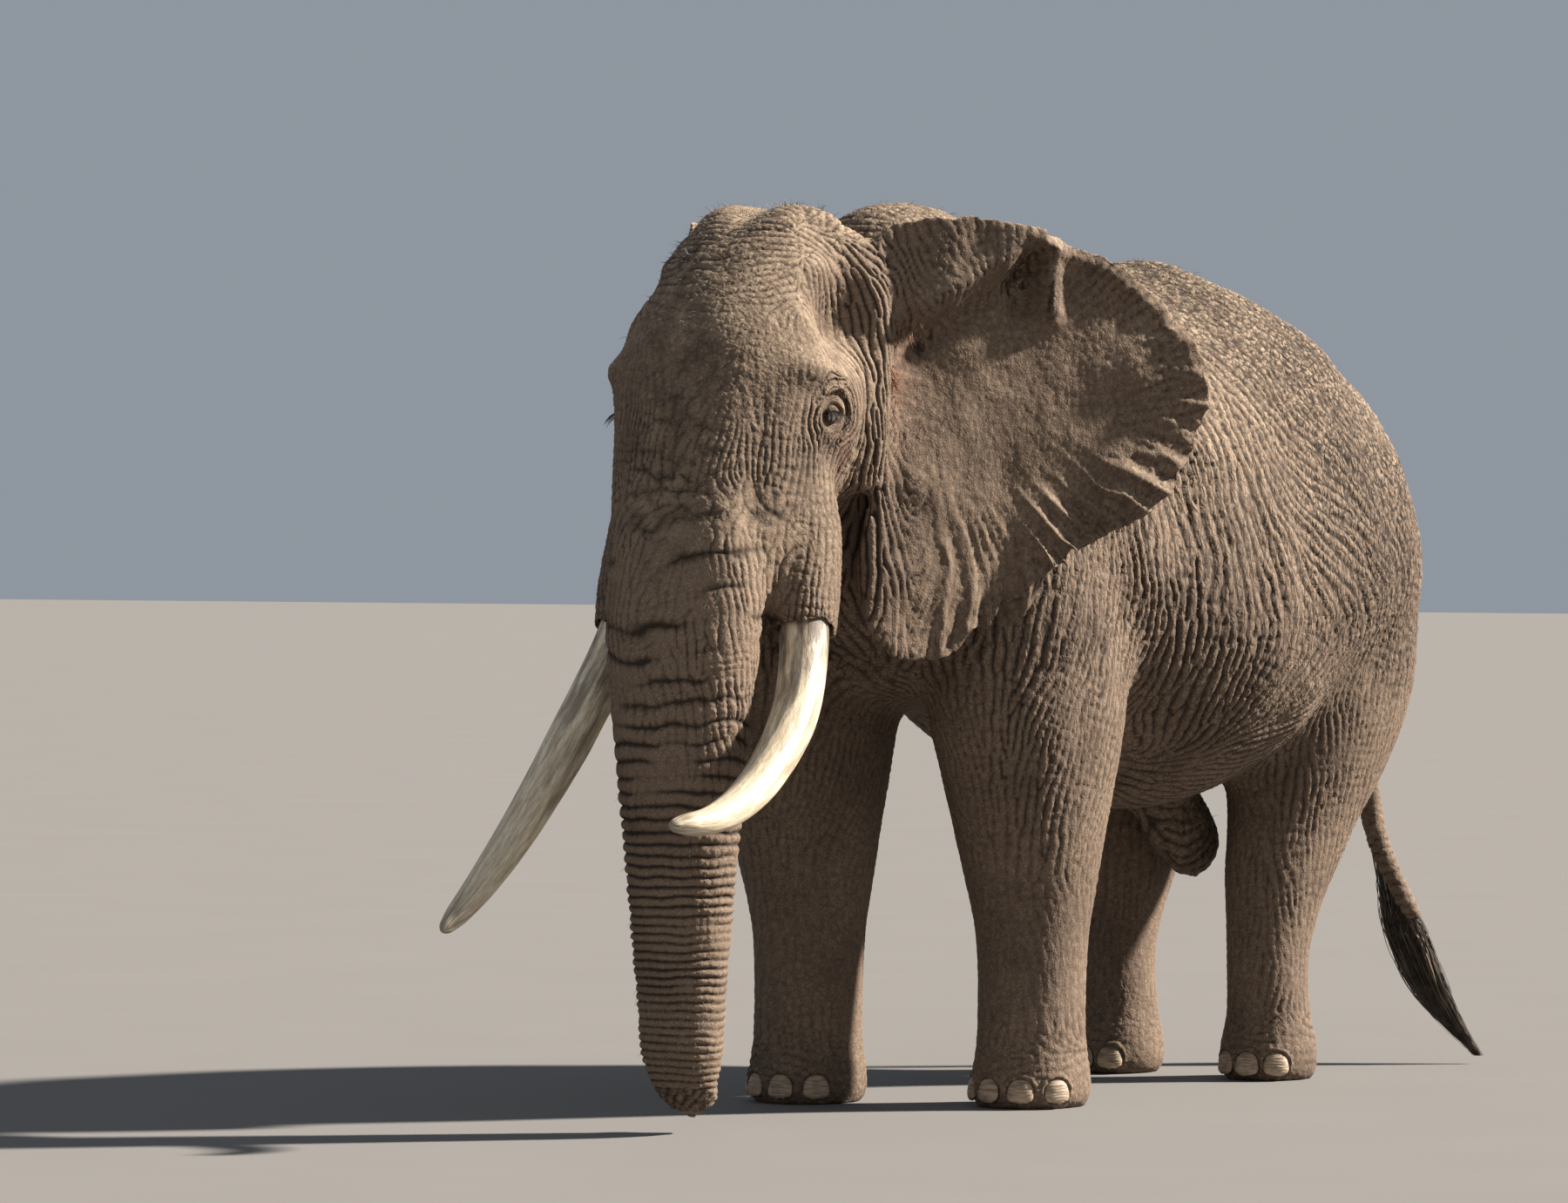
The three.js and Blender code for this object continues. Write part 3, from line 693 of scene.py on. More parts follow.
HEAD_FORMS = [
    (380, 190, 2870, 130, 140, 120, -92),  # hollow of the temple
    (320, 130, 3080, 110, 120, 60, 26),  # ridge over the temple
    (330, -40, 2880, 70, 70, 130, 22),  # in front of the temple
    (400, -95, 2700, 80, 110, 62, 44),  # brow
    (405, 50, 2672, 60, 80, 34, 20),  # rim over the eye
    (430, 185, 2520, 80, 90, 130, 20),  # cheekbone
    (420, 20, 2400, 70, 70, 60, -18),  # under the eye
    (420, 150, 2300, 80, 60, 120, -22),  # where the gland runs
    (0, -330, 2800, 250, 160, 170, 16),  # forehead
    (0, -430, 2480, 180, 130, 230, 24),  # root of the trunk
    (300, -340, 2580, 80, 120, 110, -24),  # between the brow and the trunk's root
    (275, -330, 2140, 45, 130, 260, -26),  # between the trunk and the tusk's sheath
    (150, 330, 3270, 110, 300, 90, 24),  # the two domes of the crown
    (0, 250, 3290, 60, 300, 90, -20),  # the cleft between them
    (395, 290, 2250, 60, 60, 300, -26),  # behind the cheek
    (0, -60, 1830, 90, 120, 90, -20),  # mouth
]
# Nicks in an ear's margin: the way to each from the ear's middle, its half width there and its depth.
EAR_NICKS = {
    "left": [(-1.565, 0.035, 46), (-1.70, 0.045, 70), (-1.90, 0.025, 44), (0.406, 0.022, 26),
             (0.12, 0.03, 22), (-0.36, 0.03, 20), (-1.12, 0.03, 22), (0.72, 0.02, 14)],
    "right": [(-1.35, 0.04, 50), (-0.62, 0.03, 34), (0.22, 0.03, 24), (-1.85, 0.03, 30)],
}
EAR_FAN = np.array([110, 2900])  # the pleats of the ear spread from here
EAR_PLEAT = math.radians(5.6)


def swell(forms, across, back, height):
    """How far the surface stands out at each place, from a list of swells and hollows."""
    total = np.zeros(len(across))
    for a, b, c, wide, long, high, rise in forms:
        flat = -(((across - a) / wide) ** 2) - ((back - b) / long) ** 2
        total += rise * np.exp(flat - ((height - c) / high) ** 2)
    return total


def shaped(p, n, where):
    """The hide with its bones and hollows, the ears thinned and creased, and its slight unevenness."""
    body = swell(BODY_FORMS, np.abs(p[:, 0]), p[:, 1], p[:, 2]) * (1 - where.head) * (1 - where.ears)
    head = swell(HEAD_FORMS, np.abs(where.across), where.back, where.height) * (1 - where.ears)
    head = head * (1 - smoothstep(where.back, 620, 760))
    limbs = 1 - 0.6 * np.clip(sum(where.leg.values()) + where.trunk + where.tail, 0, 1)
    uneven = (noise(p, 420, 1) * 7 + noise(p, 150, 2) * 3) * (1 - where.ears) * limbs
    uneven = uneven * smoothstep(p[:, 2], 0, 120)
    p = p + n * (body + head + uneven)[:, None]
    for name, ear in EARS.items():
        p = eared(p, name, ear, where.ear[name])
    p = p + n * (14 * where.tail * (1 - smoothstep(p[:, 2], 1900, 2200)))[:, None]
    p = tipped(p)
    for side in SIDES.values():
        p = socketed(p, side)
    for leg in LEGS.values():
        for middle, out in nail_seats(leg):
            p = seated(p, middle, out)
    return p


def eared(p, name, ear, at):
    """One ear thinned to its margin, pleated, rolled over at its top and nicked."""
    near = np.nonzero(at["share"] > 0)[0]
    keys = ("u", "w", "reach", "angle", "camber", "share")
    u, w, reach, angle, camber, share = (at[key][near] for key in keys)
    z = p[near, 2]
    along, facing = ear_axes(ear)
    inner = np.clip(reach, 0, 1)
    thinned = (w - camber) * (lerp(24, 6, inner**1.5) / EAR_STOCK - 1)
    # Pleats fan out over the lower part of the ear, and deepen toward its margin.
    lumps = noise(p[near], 230, 51)
    fan = np.arctan2(z - EAR_FAN[1], u - EAR_FAN[0])
    bend = 0.075 * noise(p[near], 340, 56) + 0.022 * noise(p[near], 120, 57)
    pleat = np.cos(TURN * (fan + bend) / EAR_PLEAT)
    fine = np.cos(TURN * (fan * 2.1 + 1.6 * bend) / EAR_PLEAT)
    lower = 1 - smoothstep(angle, 0.25, 0.85)
    deep = 1 - smoothstep(angle, -0.7, -0.1)
    margin = smoothstep(inner, lerp(0.62, 0.36, deep) + 0.16 * lumps, 1.04) * lower * smoothstep(u, 60, 320)
    strength = smoothstep(noise(p[near], 210, 53), -0.55, 0.35)
    ridge = (0.5 + 0.5 * pleat) ** 2.2 - 0.3
    thin = (0.5 + 0.5 * fine) ** 3 - 0.2
    uneven = smoothstep(noise(p[near], 130, 60), -0.3, 0.4)
    coarse, small = lerp(17, 34, deep) * ridge * (0.15 + strength), lerp(12, 16, deep) * thin * uneven
    pleats = margin * (coarse + small)
    pleats += 11 * noise(p[near], 210, 58) + 4.5 * noise(p[near], 80, 59)
    # Its top rolls over forward, with a valley under the roll, and its outer margin is a low lip.
    top = z - 0.65 * u
    hood = smoothstep(u, 20, 140) * (1 - smoothstep(u, 530, 600))
    rolled = hood * (52 * bell(top, 2858, 52) - 70 * bell(top, 2735, 75))
    edge = smoothstep(z, 2830, 2930) * (1 - smoothstep(z, 3130, 3210))
    rolled += edge * (52 * bell(u, 612, 50) - 62 * bell(u, 510, 56))
    outer = 16 * bell(inner, 0.93, 0.05) * smoothstep(angle, 0.0, 0.4) * (1 - smoothstep(angle, 1.2, 1.6))
    sunk = -30 * bell(u, 100, 120) * bell(z, 2720, 190)
    moved = facing * ((thinned + pleats + rolled + outer + sunk) * share)[:, None]
    # The margin is uneven and nicked.
    away = along * np.cos(angle)[:, None] + UP * np.sin(angle)[:, None]
    drawn = 7 * noise(p[near], 55, 54) + 5 * noise(p[near], 26, 55)
    for at_angle, half, depth in EAR_NICKS[name]:
        drawn += depth * np.exp(-(((angle - at_angle) / half) ** 2))
    moved -= away * (drawn * smoothstep(inner, 0.86, 1.0) * smoothstep(u, 60, 200) * share)[:, None]
    p = p.copy()
    p[near] += moved
    return p


def tipped(p):
    """The trunk's tip: two nostrils, with a finger above them and a shorter one below."""
    end, before = in_head(0, *TRUNK_LINE[-1]), in_head(0, *TRUNK_LINE[-2])
    axis = unit(end - before)
    up = unit(np.cross(LEFT, axis)) * np.sign(np.cross(LEFT, axis) @ -UP + 1e-9)
    near = np.nonzero(np.linalg.norm(p - end, axis=1) < 220)[0]
    away = p[near] - end
    a, b, c = away @ LEFT, away @ up, away @ axis
    front = smoothstep(c, -40, 10)
    holes = sum(np.exp(-(((a - s * 30) / 19) ** 2) - (b / 24) ** 2) for s in SIDES.values()) * front
    upper = 26 * np.exp(-((a / 34) ** 2) - ((b - 62) / 26) ** 2)
    lower = 20 * np.exp(-((a / 38) ** 2) - ((b + 60) / 26) ** 2)
    p = p.copy()
    p[near] += axis * ((upper + lower) * front - 42 * holes)[:, None]
    return p


def socketed(p, side):
    """The lip round a tusk: the hide turns in where the tusk leaves it."""
    tip, axis = sheath_end(side)
    away = p - tip
    along = away @ axis
    near = np.nonzero((np.abs(along) < 150) & (np.linalg.norm(away, axis=1) < 240))[0]
    away, along = away[near], along[near]
    far = np.linalg.norm(away - along[:, None] * axis, axis=1)
    end = smoothstep(along, -90, -10)
    inward = 70 * (1 - smoothstep(far, 84, 104)) * end
    lip = 9 * bell(far, 118, 16) * smoothstep(along, -80, -20)
    p = p.copy()
    p[near] += axis * (lip - inward)[:, None]
    return p


def seated(p, middle, out):
    """The hide pressed in behind a toenail, with a low rim of cuticle round its top and sides."""
    side = np.array([-out[1], out[0], 0])
    away = p - middle
    near = np.nonzero(np.linalg.norm(away, axis=1) < 110)[0]
    away = away[near]
    far = np.hypot(away @ side / (NAIL["half"] + 4), away[:, 2] / (NAIL["height"] + 4))
    facing = smoothstep(away @ out, -60, -20)
    rim = 7 * bell(far, 1.16, 0.14) * smoothstep(away[:, 2], -50, -10)
    seat = 9 * (1 - smoothstep(far, 0.8, 1.02))
    p = p.copy()
    p[near] += out * ((rim - seat) * facing)[:, None]
    return p


# ---------------- folds of the hide
# How the loose skin lies: a place, the way its folds run, how far apart and how deep they are, the
# same for the folds across them, and how deep its cracks are. Places count from the middle plane.
BODY_LIE = [
    (0, -1000, 3350, 1, 0, 0, 40, 2, 40, 1.5, 3),
    (0, -300, 3100, 1, 0, 0, 40, 2, 42, 1.5, 3.5),
    (0, 500, 3170, 1, 0, 0, 42, 1.5, 42, 1, 4),
    (0, 1200, 2900, 1, 0, 0, 42, 1.5, 42, 1, 4),
    (450, -1000, 3050, 0, 0, 1, 46, 4, 50, 2, 2),
    (600, -300, 2850, 0, -0.1, 1, 44, 3.5, 50, 2, 3),
    (620, 450, 2850, 0, -0.4, 1, 42, 2.5, 46, 1.5, 3.6),
    (600, 1050, 2650, 0, -0.2, 1, 40, 2.5, 42, 1.5, 3.8),
    (330, 1550, 2350, 0, 0.3, 1, 38, 3, 40, 2, 3),
    (250, 1700, 1900, 0, 0, 1, 38, 4, 42, 2.5, 2.5),
    (680, -900, 2400, 0, -0.3, 1, 42, 6, 52, 3, 1.2),
    (700, -900, 1950, 0, 0.3, 1, 34, 6.5, 44, 3, 1),
    (680, -640, 2250, 0, -0.6, 1, 38, 6.5, 50, 3, 1),
    (780, -380, 2250, 0, -0.1, 1, 44, 6.5, 62, 4, 1),
    (840, 0, 2450, 0, -0.2, 1, 44, 6, 56, 3.5, 1.5),
    (850, 50, 1950, 0, 0, 1, 44, 7, 64, 4, 1),
    (880, 500, 2450, 0, -0.7, 1, 42, 4.5, 44, 3, 2.5),
    (890, 450, 2000, 0, -1, 0.7, 42, 6, 44, 4, 1.5),
    (880, 850, 2100, 0, -1, 0.8, 40, 5, 40, 4, 2),
    (860, 1050, 2400, 0, -0.5, 1, 40, 3, 42, 2, 3.4),
    (800, -100, 1500, 0, -0.1, 1, 46, 6.5, 70, 3.5, 1),
    (820, 350, 1600, 0, 0.5, 1, 38, 6, 44, 3.5, 1),
    (760, 620, 1450, 0, 1, 0.75, 34, 5.5, 46, 3, 1),
    (560, 300, 1180, 0, 1, 0.4, 42, 5, 60, 3, 1),
    (0, 0, 1120, 0, 1, 0, 55, 5, 70, 3, 1),
    (0, -900, 1500, 0, 1, 0, 60, 5, 70, 3, 1),
    (700, 1150, 1800, 0, 0.1, 1, 36, 5, 40, 4, 2),
    (560, 1350, 1500, 0, 0, 1, 34, 5, 38, 4, 2),
    (650, 900, 1400, 0, 0.2, 1, 34, 5, 38, 4, 1.5),
    (330, -1420, 2000, 0, 0, 1, 50, 6, 60, 3, 1),
    (420, -1500, 2500, 0, 0.1, 1, 48, 7, 60, 3, 1),
    (300, -1500, 3000, 0.4, 0.1, 1, 44, 5, 50, 3, 2),
    (0, -1500, 3150, 1, 0, 0, 44, 4, 50, 2, 2),
]
HEAD_LIE = [
    (0, -260, 2980, 1, 0, 0, 60, 1.2, 60, 0.8, 1.0),
    (0, -390, 2720, 0.4, 0, 1, 60, 0.8, 80, 1.2, 0.9),
    (0, 150, 3280, 1, 0, 0, 36, 2.4, 44, 1.2, 1.4),
    (200, -30, 3080, 1, 0.5, 0.2, 36, 2.2, 44, 1, 1.2),
    (200, 450, 3230, 0.6, -0.8, 0, 34, 4, 44, 2, 1.5),
    (300, 120, 3090, 0.2, -0.7, 0.7, 32, 4.5, 46, 1.5, 1),
    (350, 330, 3020, 0, -0.5, 1, 32, 6, 48, 2, 0.6),
    (420, 420, 2800, 0, -0.2, 1, 30, 7.5, 60, 2, 0.4),
    (430, 360, 2560, 0, 0, 1, 30, 8.5, 60, 2, 0.4),
    (420, 330, 2300, 0, 0.1, 1, 32, 9, 60, 2.5, 0.4),
    (360, 170, 2860, 0, -0.5, 1, 36, 1.5, 44, 1, 1.2),
    (395, -70, 2700, 0.2, 0, 1, 30, 1, 36, 0.8, 1),
    (300, -260, 2720, 0.4, 0, 1, 40, 1, 44, 0.8, 1.0),
    (300, -330, 2450, 0.3, 0, 1, 26, 3.5, 40, 2, 1),
    (330, -200, 2300, 0.2, 0.2, 1, 26, 4.5, 34, 3, 0.8),
    (0, -440, 2560, 0.25, 0, 1, 40, 1.8, 90, 2.5, 1.0),
    (0, -450, 2380, 0.22, 0, 1, 34, 3.2, 110, 4.5, 1.2),
    (260, -400, 2200, 0.2, 0.1, 1, 26, 4.5, 50, 3.5, 0.8),
    (390, -40, 2150, 0, 0.2, 1, 34, 1.6, 36, 1.4, 1.4),
    (420, 60, 1950, 0, 0.1, 1, 40, 1.2, 40, 1.2, 1.2),
    (330, -220, 1950, 0.3, 0.1, 1, 26, 4.5, 36, 3, 0.8),
    (300, 330, 2150, 0, 0.2, 1, 38, 9, 60, 3, 0.4),
    (100, 150, 1950, 0, 1, -0.5, 44, 5, 60, 3, 0.6),
]
ring_gap = profile([(150, 26), (400, 29), (800, 33), (1150, 46), (1500, 76), (1850, 118), (2300, 140)])
ring_depth = profile([(150, 5), (400, 7.5), (800, 8.5), (1150, 9), (1500, 7.5), (2300, 4.5)])
upright_depth = profile([(150, 2), (800, 3), (1200, 4.5), (1600, 7), (2000, 7), (2300, 4)])
front_leg_fold = profile([
    (0, 0), (90, 2), (250, 3.5), (450, 1.5), (750, 2.2), (1000, 4.5), (1300, 6.5), (1700, 6),
])
hind_leg_fold = profile([(0, 0), (90, 2), (250, 4), (450, 3.5), (900, 4.5), (1300, 5), (1700, 5)])


def trunk_rings(p, where):
    """The rings round the trunk, which wander, fork and fade: 1 along a crest and 0 in a crease."""
    heights = np.linspace(0, 2500, 600)
    turns = np.cumsum(TURN * np.gradient(heights) / ring_gap(heights))
    phase = np.interp(where.height, heights, turns)
    low = 1 - smoothstep(where.height, 1050, 1500)
    phase = phase + lerp(2.6, 1.7, low) * noise(p * [1, 1, 0.5], 170, 41) + 1.1 * noise(p, 70, 42)
    broken = smoothstep(noise(p * [1, 1, 2], 150, 43), lerp(-0.5, -0.9, low), lerp(0.15, -0.4, low))
    ring = (1 - np.abs(np.cos(phase / 2))) * lerp(0.3, 1, broken)
    wrinkle = 1 - np.abs(np.cos(phase * 1.35 + 2 * noise(p, 90, 44)))
    patchy = smoothstep(noise(p * [1, 1, 2], 120, 45), -0.3, 0.3)
    return 1 - np.maximum(ring, 0.55 * wrinkle * patchy * (1 - low))


def laid(marks, across, back, height, side, reach):
    """The lie of the skin between the marks of a table: one row of eight values for each point."""
    table = np.array(marks, float)
    total, weights = np.zeros((len(across), 8), np.float32), np.zeros(len(across), np.float32)
    place = np.stack([across, back, height], 1).astype(np.float32)
    for row in table:
        gap = place - row[:3].astype(np.float32)
        weight = np.exp(-(gap * gap).sum(1) / reach**2) + 1e-12
        weights += weight
        total += weight[:, None] * row[3:].astype(np.float32)
    total /= weights[:, None]
    total[:, 0] *= side
    return total


def lie_of(p, n, where):
    """How the skin lies at each point, how calm its cracks are there, and how dark it is at the lids, as wet
    skin with painted shade round the slit.
    """
    side = np.sign(p[:, 0])
    lie = laid(BODY_LIE, np.abs(p[:, 0]), p[:, 1], p[:, 2], side, 260)
    head = laid(HEAD_LIE, np.abs(where.across), where.back, where.height, np.sign(where.across), 150)
    head[:, :3] = head[:, :1] * LEFT + head[:, 1:2] * BACK + head[:, 2:3] * UP
    share = smoothstep(where.head, 0, 1)[:, None]
    lie = lie * (1 - share) + head * share

    def blend(share, direction, values):
        """Lays the folds along direction, with these gaps and depths, by share at each point."""
        row = np.stack([np.broadcast_to(np.asarray(v, float), len(p)) for v in (*direction.T, *values)], 1)
        lie[:] = lie * (1 - share[:, None]) + row * share[:, None]

    z = p[:, 2]
    level = unit(np.cross(n, UP))
    facing_side = np.abs(where.across) / trunk_half(z)
    upright = upright_depth(z) * (0.55 + 0.5 * facing_side)
    blend(where.trunk, level, (ring_gap(z), ring_depth(z), 36, upright, 0.8))
    for name, leg in LEGS.items():
        front = "front" in name
        deep = front_leg_fold(z) if front else hind_leg_fold(z)
        shaded = smoothstep(n[:, 0] * leg["side"] + 0.6 * n[:, 1], -0.7, 0.5)
        deep = deep * (0.45 + 0.55 * shaded)
        gap = lerp(44, 32, smoothstep(z, 700, 1200)) if front else 32
        slant = 0.42 * smoothstep(z, 800, 1200) - 0.5 * bell(z, 620, 260) if front else 0 * z
        blend(where.leg[name], UP + slant[:, None] * [0, 1, 0], (gap, deep, gap * 1.2, deep * 0.5, 1.2))
        foot = where.leg[name] * (1 - smoothstep(z, 180, 300))
        blend(foot, level, (34, deep, 40, deep * 0.7, 1.5))
    blend(where.tail, level, (34, 3.5, 30, 1, 1))
    for name, ear in EARS.items():
        at = where.ear[name]
        along, _ = ear_axes(ear)
        spoke = along * np.cos(at["angle"])[:, None] + UP * np.sin(at["angle"])[:, None]
        rim = smoothstep(at["reach"], 0.45, 0.95)
        blend(at["share"], spoke, (38, 0.5 + 2.2 * rim, 40, 0.5 + 1.0 * rim, 1.6))
        root = at["share"] * (1 - smoothstep(at["u"], 0, 170)) * (at["w"] > at["camber"])
        blend(root, np.broadcast_to(UP, p.shape), (28, 5.5, 60, 1, 0.3))
    # Rings of folds run round each eye, shallow on the lids and in front of them, and none hang below.
    calm, wet = np.ones(len(p)), np.zeros(len(p))
    for side in SIDES.values():
        gaze, ahead, up = eye_axes(side)
        away = p - eye_centre(side)
        across, along = away @ ahead, away @ up
        far = np.hypot(across, along)
        round_eye = np.cross(gaze, away)
        round_eye = unit(round_eye) * np.sign(round_eye @ UP + 1e-6)[:, None]
        below = smoothstep(-along / np.maximum(far, 1), 0.55, 0.95)
        near = 1 - smoothstep(np.linalg.norm(away, axis=1), 130, 250)
        near = near * (1 - below * smoothstep(far, 60, 110))
        lid = 1 - smoothstep(far, 62, 84)
        shallow = 0.75 * smoothstep(across, 10, 120) * smoothstep(along, -10, 60) * (far > 84)
        deep = lerp(7.5, 1.6, lid) * (1 - shallow)
        blend(near, round_eye, (lerp(27, 9, lid), deep, 60, lerp(2, 0.3, lid), 0.4))
        calm *= 1 - 0.85 * lid * near
        # Round the slit between the lids the hide is wet and darker, with painted shade in the crease colour.
        wet = np.maximum(wet, 0.75 * (1 - smoothstep(np.hypot(across / 1.25, along), 22, 40)) * near)
    return lie, calm, wet


def folded(p, n, where):
    """The hide with its folds and cracks, and how deep in a crease each point is, from 0 to 1, as the share
    of painted shade in its colour, darkened further round the lids' slits.
    """
    lie, calm, wet = lie_of(p, n, where)
    soft = (0.32 * noise(p, 260, 11) + 0.22 * noise(p, 120, 16))[:, None] * np.cross(n, lie[:, :3])
    run = lie[:, :3] + soft
    run = unit(run - n * (run * n).sum(1)[:, None])
    across = np.cross(n, run)
    stretch = 1 + 0.3 * noise(p, 180, 12)
    waver = 1 + 0.45 * noise(p, 140, 13)
    main = ridges(p, across, lie[:, 3] * stretch, 95, 21)
    main = lerp(main, trunk_rings(p, where), where.trunk)
    cross = ridges(p, run, lie[:, 5] * stretch, 62, 22)
    wander = 5 * np.stack([noise(p, 30, seed) for seed in (31, 32, 33)], 1)
    pads = smoothstep(cracks(p + wander, 27, 34), 0.02, 0.38)
    limbs = np.clip(sum(where.leg.values()) + where.tail + where.trunk, 0, 1)
    broad = ridges(p, across, np.full(len(p), 125.0) * stretch, 230, 23)
    broad_depth = 1.5 * lie[:, 4] * (1 - where.head) * (1 - where.ears) * (1 - 0.6 * limbs)
    broad_depth *= 0.4 + smoothstep(noise(p, 400, 14), -0.4, 0.5)
    small = np.ones(len(p))
    face = np.nonzero((where.head > 0.2) & (where.ears < 0.5))[0]
    small[face] = smoothstep(cracks(p[face] + 2 * noise(p[face], 9, 35)[:, None], 15, 36), 0.02, 0.4)
    loose = smoothstep(np.abs(p[:, 0]), 480, 700) * (1 - limbs) * (1 - where.head) * (1 - where.ears)
    main_depth = lie[:, 4] * waver * FOLD_DEPTH * (1 + 0.45 * loose)
    cross_depth = lie[:, 6] * waver * FOLD_DEPTH * lerp(0.3, 0.95, smoothstep(noise(p, 110, 15), -0.5, 0.4))
    fold, trough = main_depth * (1 - main**0.6), broad_depth * (1 - broad**0.7)
    valley = cross_depth * (1 - cross**0.6) * (0.35 + 0.65 * main)
    valley += calm * (1.5 * lie[:, 7] * (1 - pads) + 1.5 * (1 - small) * where.head)
    narrow = fold + valley
    valley += np.maximum(fold, trough) + 0.3 * np.minimum(fold, trough)
    level_line = 0.3 * (main_depth + cross_depth + 0.7 * broad_depth)
    # How much painted shade the hide's colour gets at each point, from how deep it lies in a crease.
    crease = np.clip((narrow - 0.2 * (main_depth + cross_depth)) / PAINTED_SHADE_DARKEST_AT, 0, 1)
    # The creases' painted shade, and round the lids' slits the darker wet skin with its painted shade.
    return p + n * (level_line - valley)[:, None], np.maximum(crease, wet)


# ---------------- eyes in the hide
def eye_axes(side):
    """(the way the eye looks, the way forward along the lids, up) for one eye."""
    gaze = unit(side * LEFT * 0.87 - BACK * 0.48 - UP * 0.08)
    ahead = unit(-BACK - gaze * (-BACK @ gaze))
    return gaze, ahead, np.cross(gaze, ahead) * (1 if np.cross(gaze, ahead)[2] > 0 else -1)


def lidded(p, side):
    """The hide drawn over one eyeball as two lids, in its ring of folds, with the slit open."""
    gaze, ahead, up = eye_axes(side)
    away = p - eye_centre(side)
    a, b, c = away @ ahead, away @ up, away @ gaze
    far = np.hypot(a, b)
    near = np.nonzero((far < 150) & (c > -80) & (c < 110))[0]
    a, b, c, far = a[near], b[near], c[near], far[near]
    # A low dome over the eyeball, then a socket, flowing out into the face.
    share = 1 - smoothstep(far, 45, 95)
    ball = EYE["radius"] + LID["thick"]
    dome = np.sqrt(np.maximum((ball + 16) ** 2 - far**2, 0)) - 16
    socket = 4 - 7 * smoothstep(b, 20, 60) * (1 - smoothstep(far, 50, 80))
    surface = np.maximum(dome, lerp(socket, c, smoothstep(far, 40, 85)))
    wanted = lerp(c, surface, share)
    # The ring round the socket, the fold over the upper lid and the one under the lower lid.
    over = smoothstep(b, -5, 22)
    behind = lerp(0.2, 1, smoothstep(b - 0.5 * a, -50, 45))
    wanted += behind * (9 * bell(far, 96, 13) - 9 * bell(far, 74, 9))
    wanted += over * (9 * bell(far, 47, 10) - 6 * bell(far, 31, 4.5))
    wanted -= (1 - over) * 4 * bell(far, 36, 6)
    # The slit, with a thick rim to each lid.
    corner = np.clip(1 - (a / LID["half"]) ** 2, 0, 1)
    upper = LID["upper"] * corner - LID["droop"] + 0.12 * a
    lower = -LID["lower"] * corner - LID["droop"] + 0.12 * a
    edge = np.minimum(upper - b, b - lower)
    inside = (edge > 0) & (np.abs(a) < LID["half"])
    rim = np.exp(-((edge / 3.2) ** 2)) * (np.abs(a) < LID["half"] + 3)
    wanted = wanted + np.where(inside, 0, 2.2 * rim)
    floor = np.sqrt(np.maximum((EYE["radius"] - 3) ** 2 - far**2, 0)) - 4
    wanted = np.where(inside, floor, wanted)
    p = p.copy()
    p[near] += gaze * (wanted - c)[:, None]
    return p


# ---------------- the hide's flat map
MAP_WIDTH = 8600  # width and height of the map, in millimetres of hide
WIDEST_FACE = 150  # a face that looks wider than this on the map lies over the seam of its region


def flat_places(where, region, turned=False):
    """(across, up) of points on the map of their region; turned points lie one turn further round."""
    name, side = region
    p = where.p

    def wrap(angle):
        return np.where(turned & (angle < 0), angle + TURN, angle)

    if name == "body":
        down = np.arctan2(np.abs(p[:, 0]), p[:, 2] - 1900) * 900
        return p[:, 1] + 1550 + (0 if side > 0 else 3600), down
    if name == "tail":
        line = evenly(spline(TAIL_LINE), 40)[0]
        x, y = (np.interp(-p[:, 2], -line[:, 2], line[:, k]) for k in (0, 1))
        return 7400 + wrap(np.arctan2(p[:, 0] - x, y - p[:, 1])) * 50, p[:, 2] - 450
    if name == "trunk":
        angle = np.arctan2(where.across, where.trunk_middle - where.back)
        return 700 + wrap(angle) * 200, 2800 + p[:, 2]
    if name in LEGS:
        x, y, *_ = leg_sizes(LEGS[name], p[:, 2])
        angle = wrap(np.arctan2(p[:, 0] - x, y - p[:, 1]))
        return 2250 + 1700 * list(LEGS).index(name) + angle * 250, 2900 + p[:, 2]
    if name == "head":
        angle = np.arctan2(np.abs(where.across), 150 - where.back)
        return (7300 if side > 0 else 5900) + angle * 420, 3350 + p[:, 2]
    at = where.ear[name]
    return at["u"] + 200 + 1430 * (2 * list(EARS).index(name) + side), 3600 + p[:, 2]


def face_region(where, p):
    """The map region of each point, as numbers, with the (name, side) that each number stands for."""
    regions = [("body", 1), ("body", -1), ("head", 1), ("head", -1), ("trunk", 0), ("tail", 0)]
    regions += [(leg, 0) for leg in LEGS] + [(ear, side) for ear in EARS for side in (0, 1)]
    chosen = np.where(p[:, 0] > 0, 0, 1)
    chosen = np.where(where.head > 0.5, np.where(where.across > 0, 2, 3), chosen)
    chosen = np.where(where.trunk > 0.5, 4, chosen)
    chosen = np.where(where.tail > 0.5, 5, chosen)
    for k, leg in enumerate(LEGS):
        chosen = np.where(where.leg[leg] > 0.5, 6 + k, chosen)
    for k, ear in enumerate(EARS):
        at = where.ear[ear]
        front = (at["w"] > at["camber"]).astype(int)
        chosen = np.where(at["share"] > 0.5, 10 + 2 * k + front, chosen)
    return chosen, regions


def add_map(mesh, where, p):
    """Lays the hide out flat, region by region, as the map that its colours are kept on."""
    total, corner = values_of(mesh.polygons, "loop_total", np.int32), corners_of(mesh)
    first = np.r_[0, np.cumsum(total)[:-1]]
    chosen, regions = face_region(where, p)
    label = np.repeat(chosen[corner[first]], total)
    places = np.zeros((len(corner), 2), np.float32)
    for number, region in enumerate(regions):
        used = np.nonzero(label == number)[0]
        if not used.size:
            continue
        part = where.only(corner[used])
        plain = np.stack(flat_places(part, region), 1)
        faces = np.repeat(np.arange(len(total)), total)[used]
        starts = np.r_[0, np.nonzero(np.diff(faces))[0] + 1]
        span = np.maximum.reduceat(plain[:, 0], starts) - np.minimum.reduceat(plain[:, 0], starts)
        turned = np.repeat(span > WIDEST_FACE, np.diff(np.r_[starts, len(faces)]))
        again = np.stack(flat_places(part, region, turned), 1)
        places[used] = np.where(turned[:, None], again, plain)
    write_map(mesh, np.clip(places / MAP_WIDTH, 0, 1))


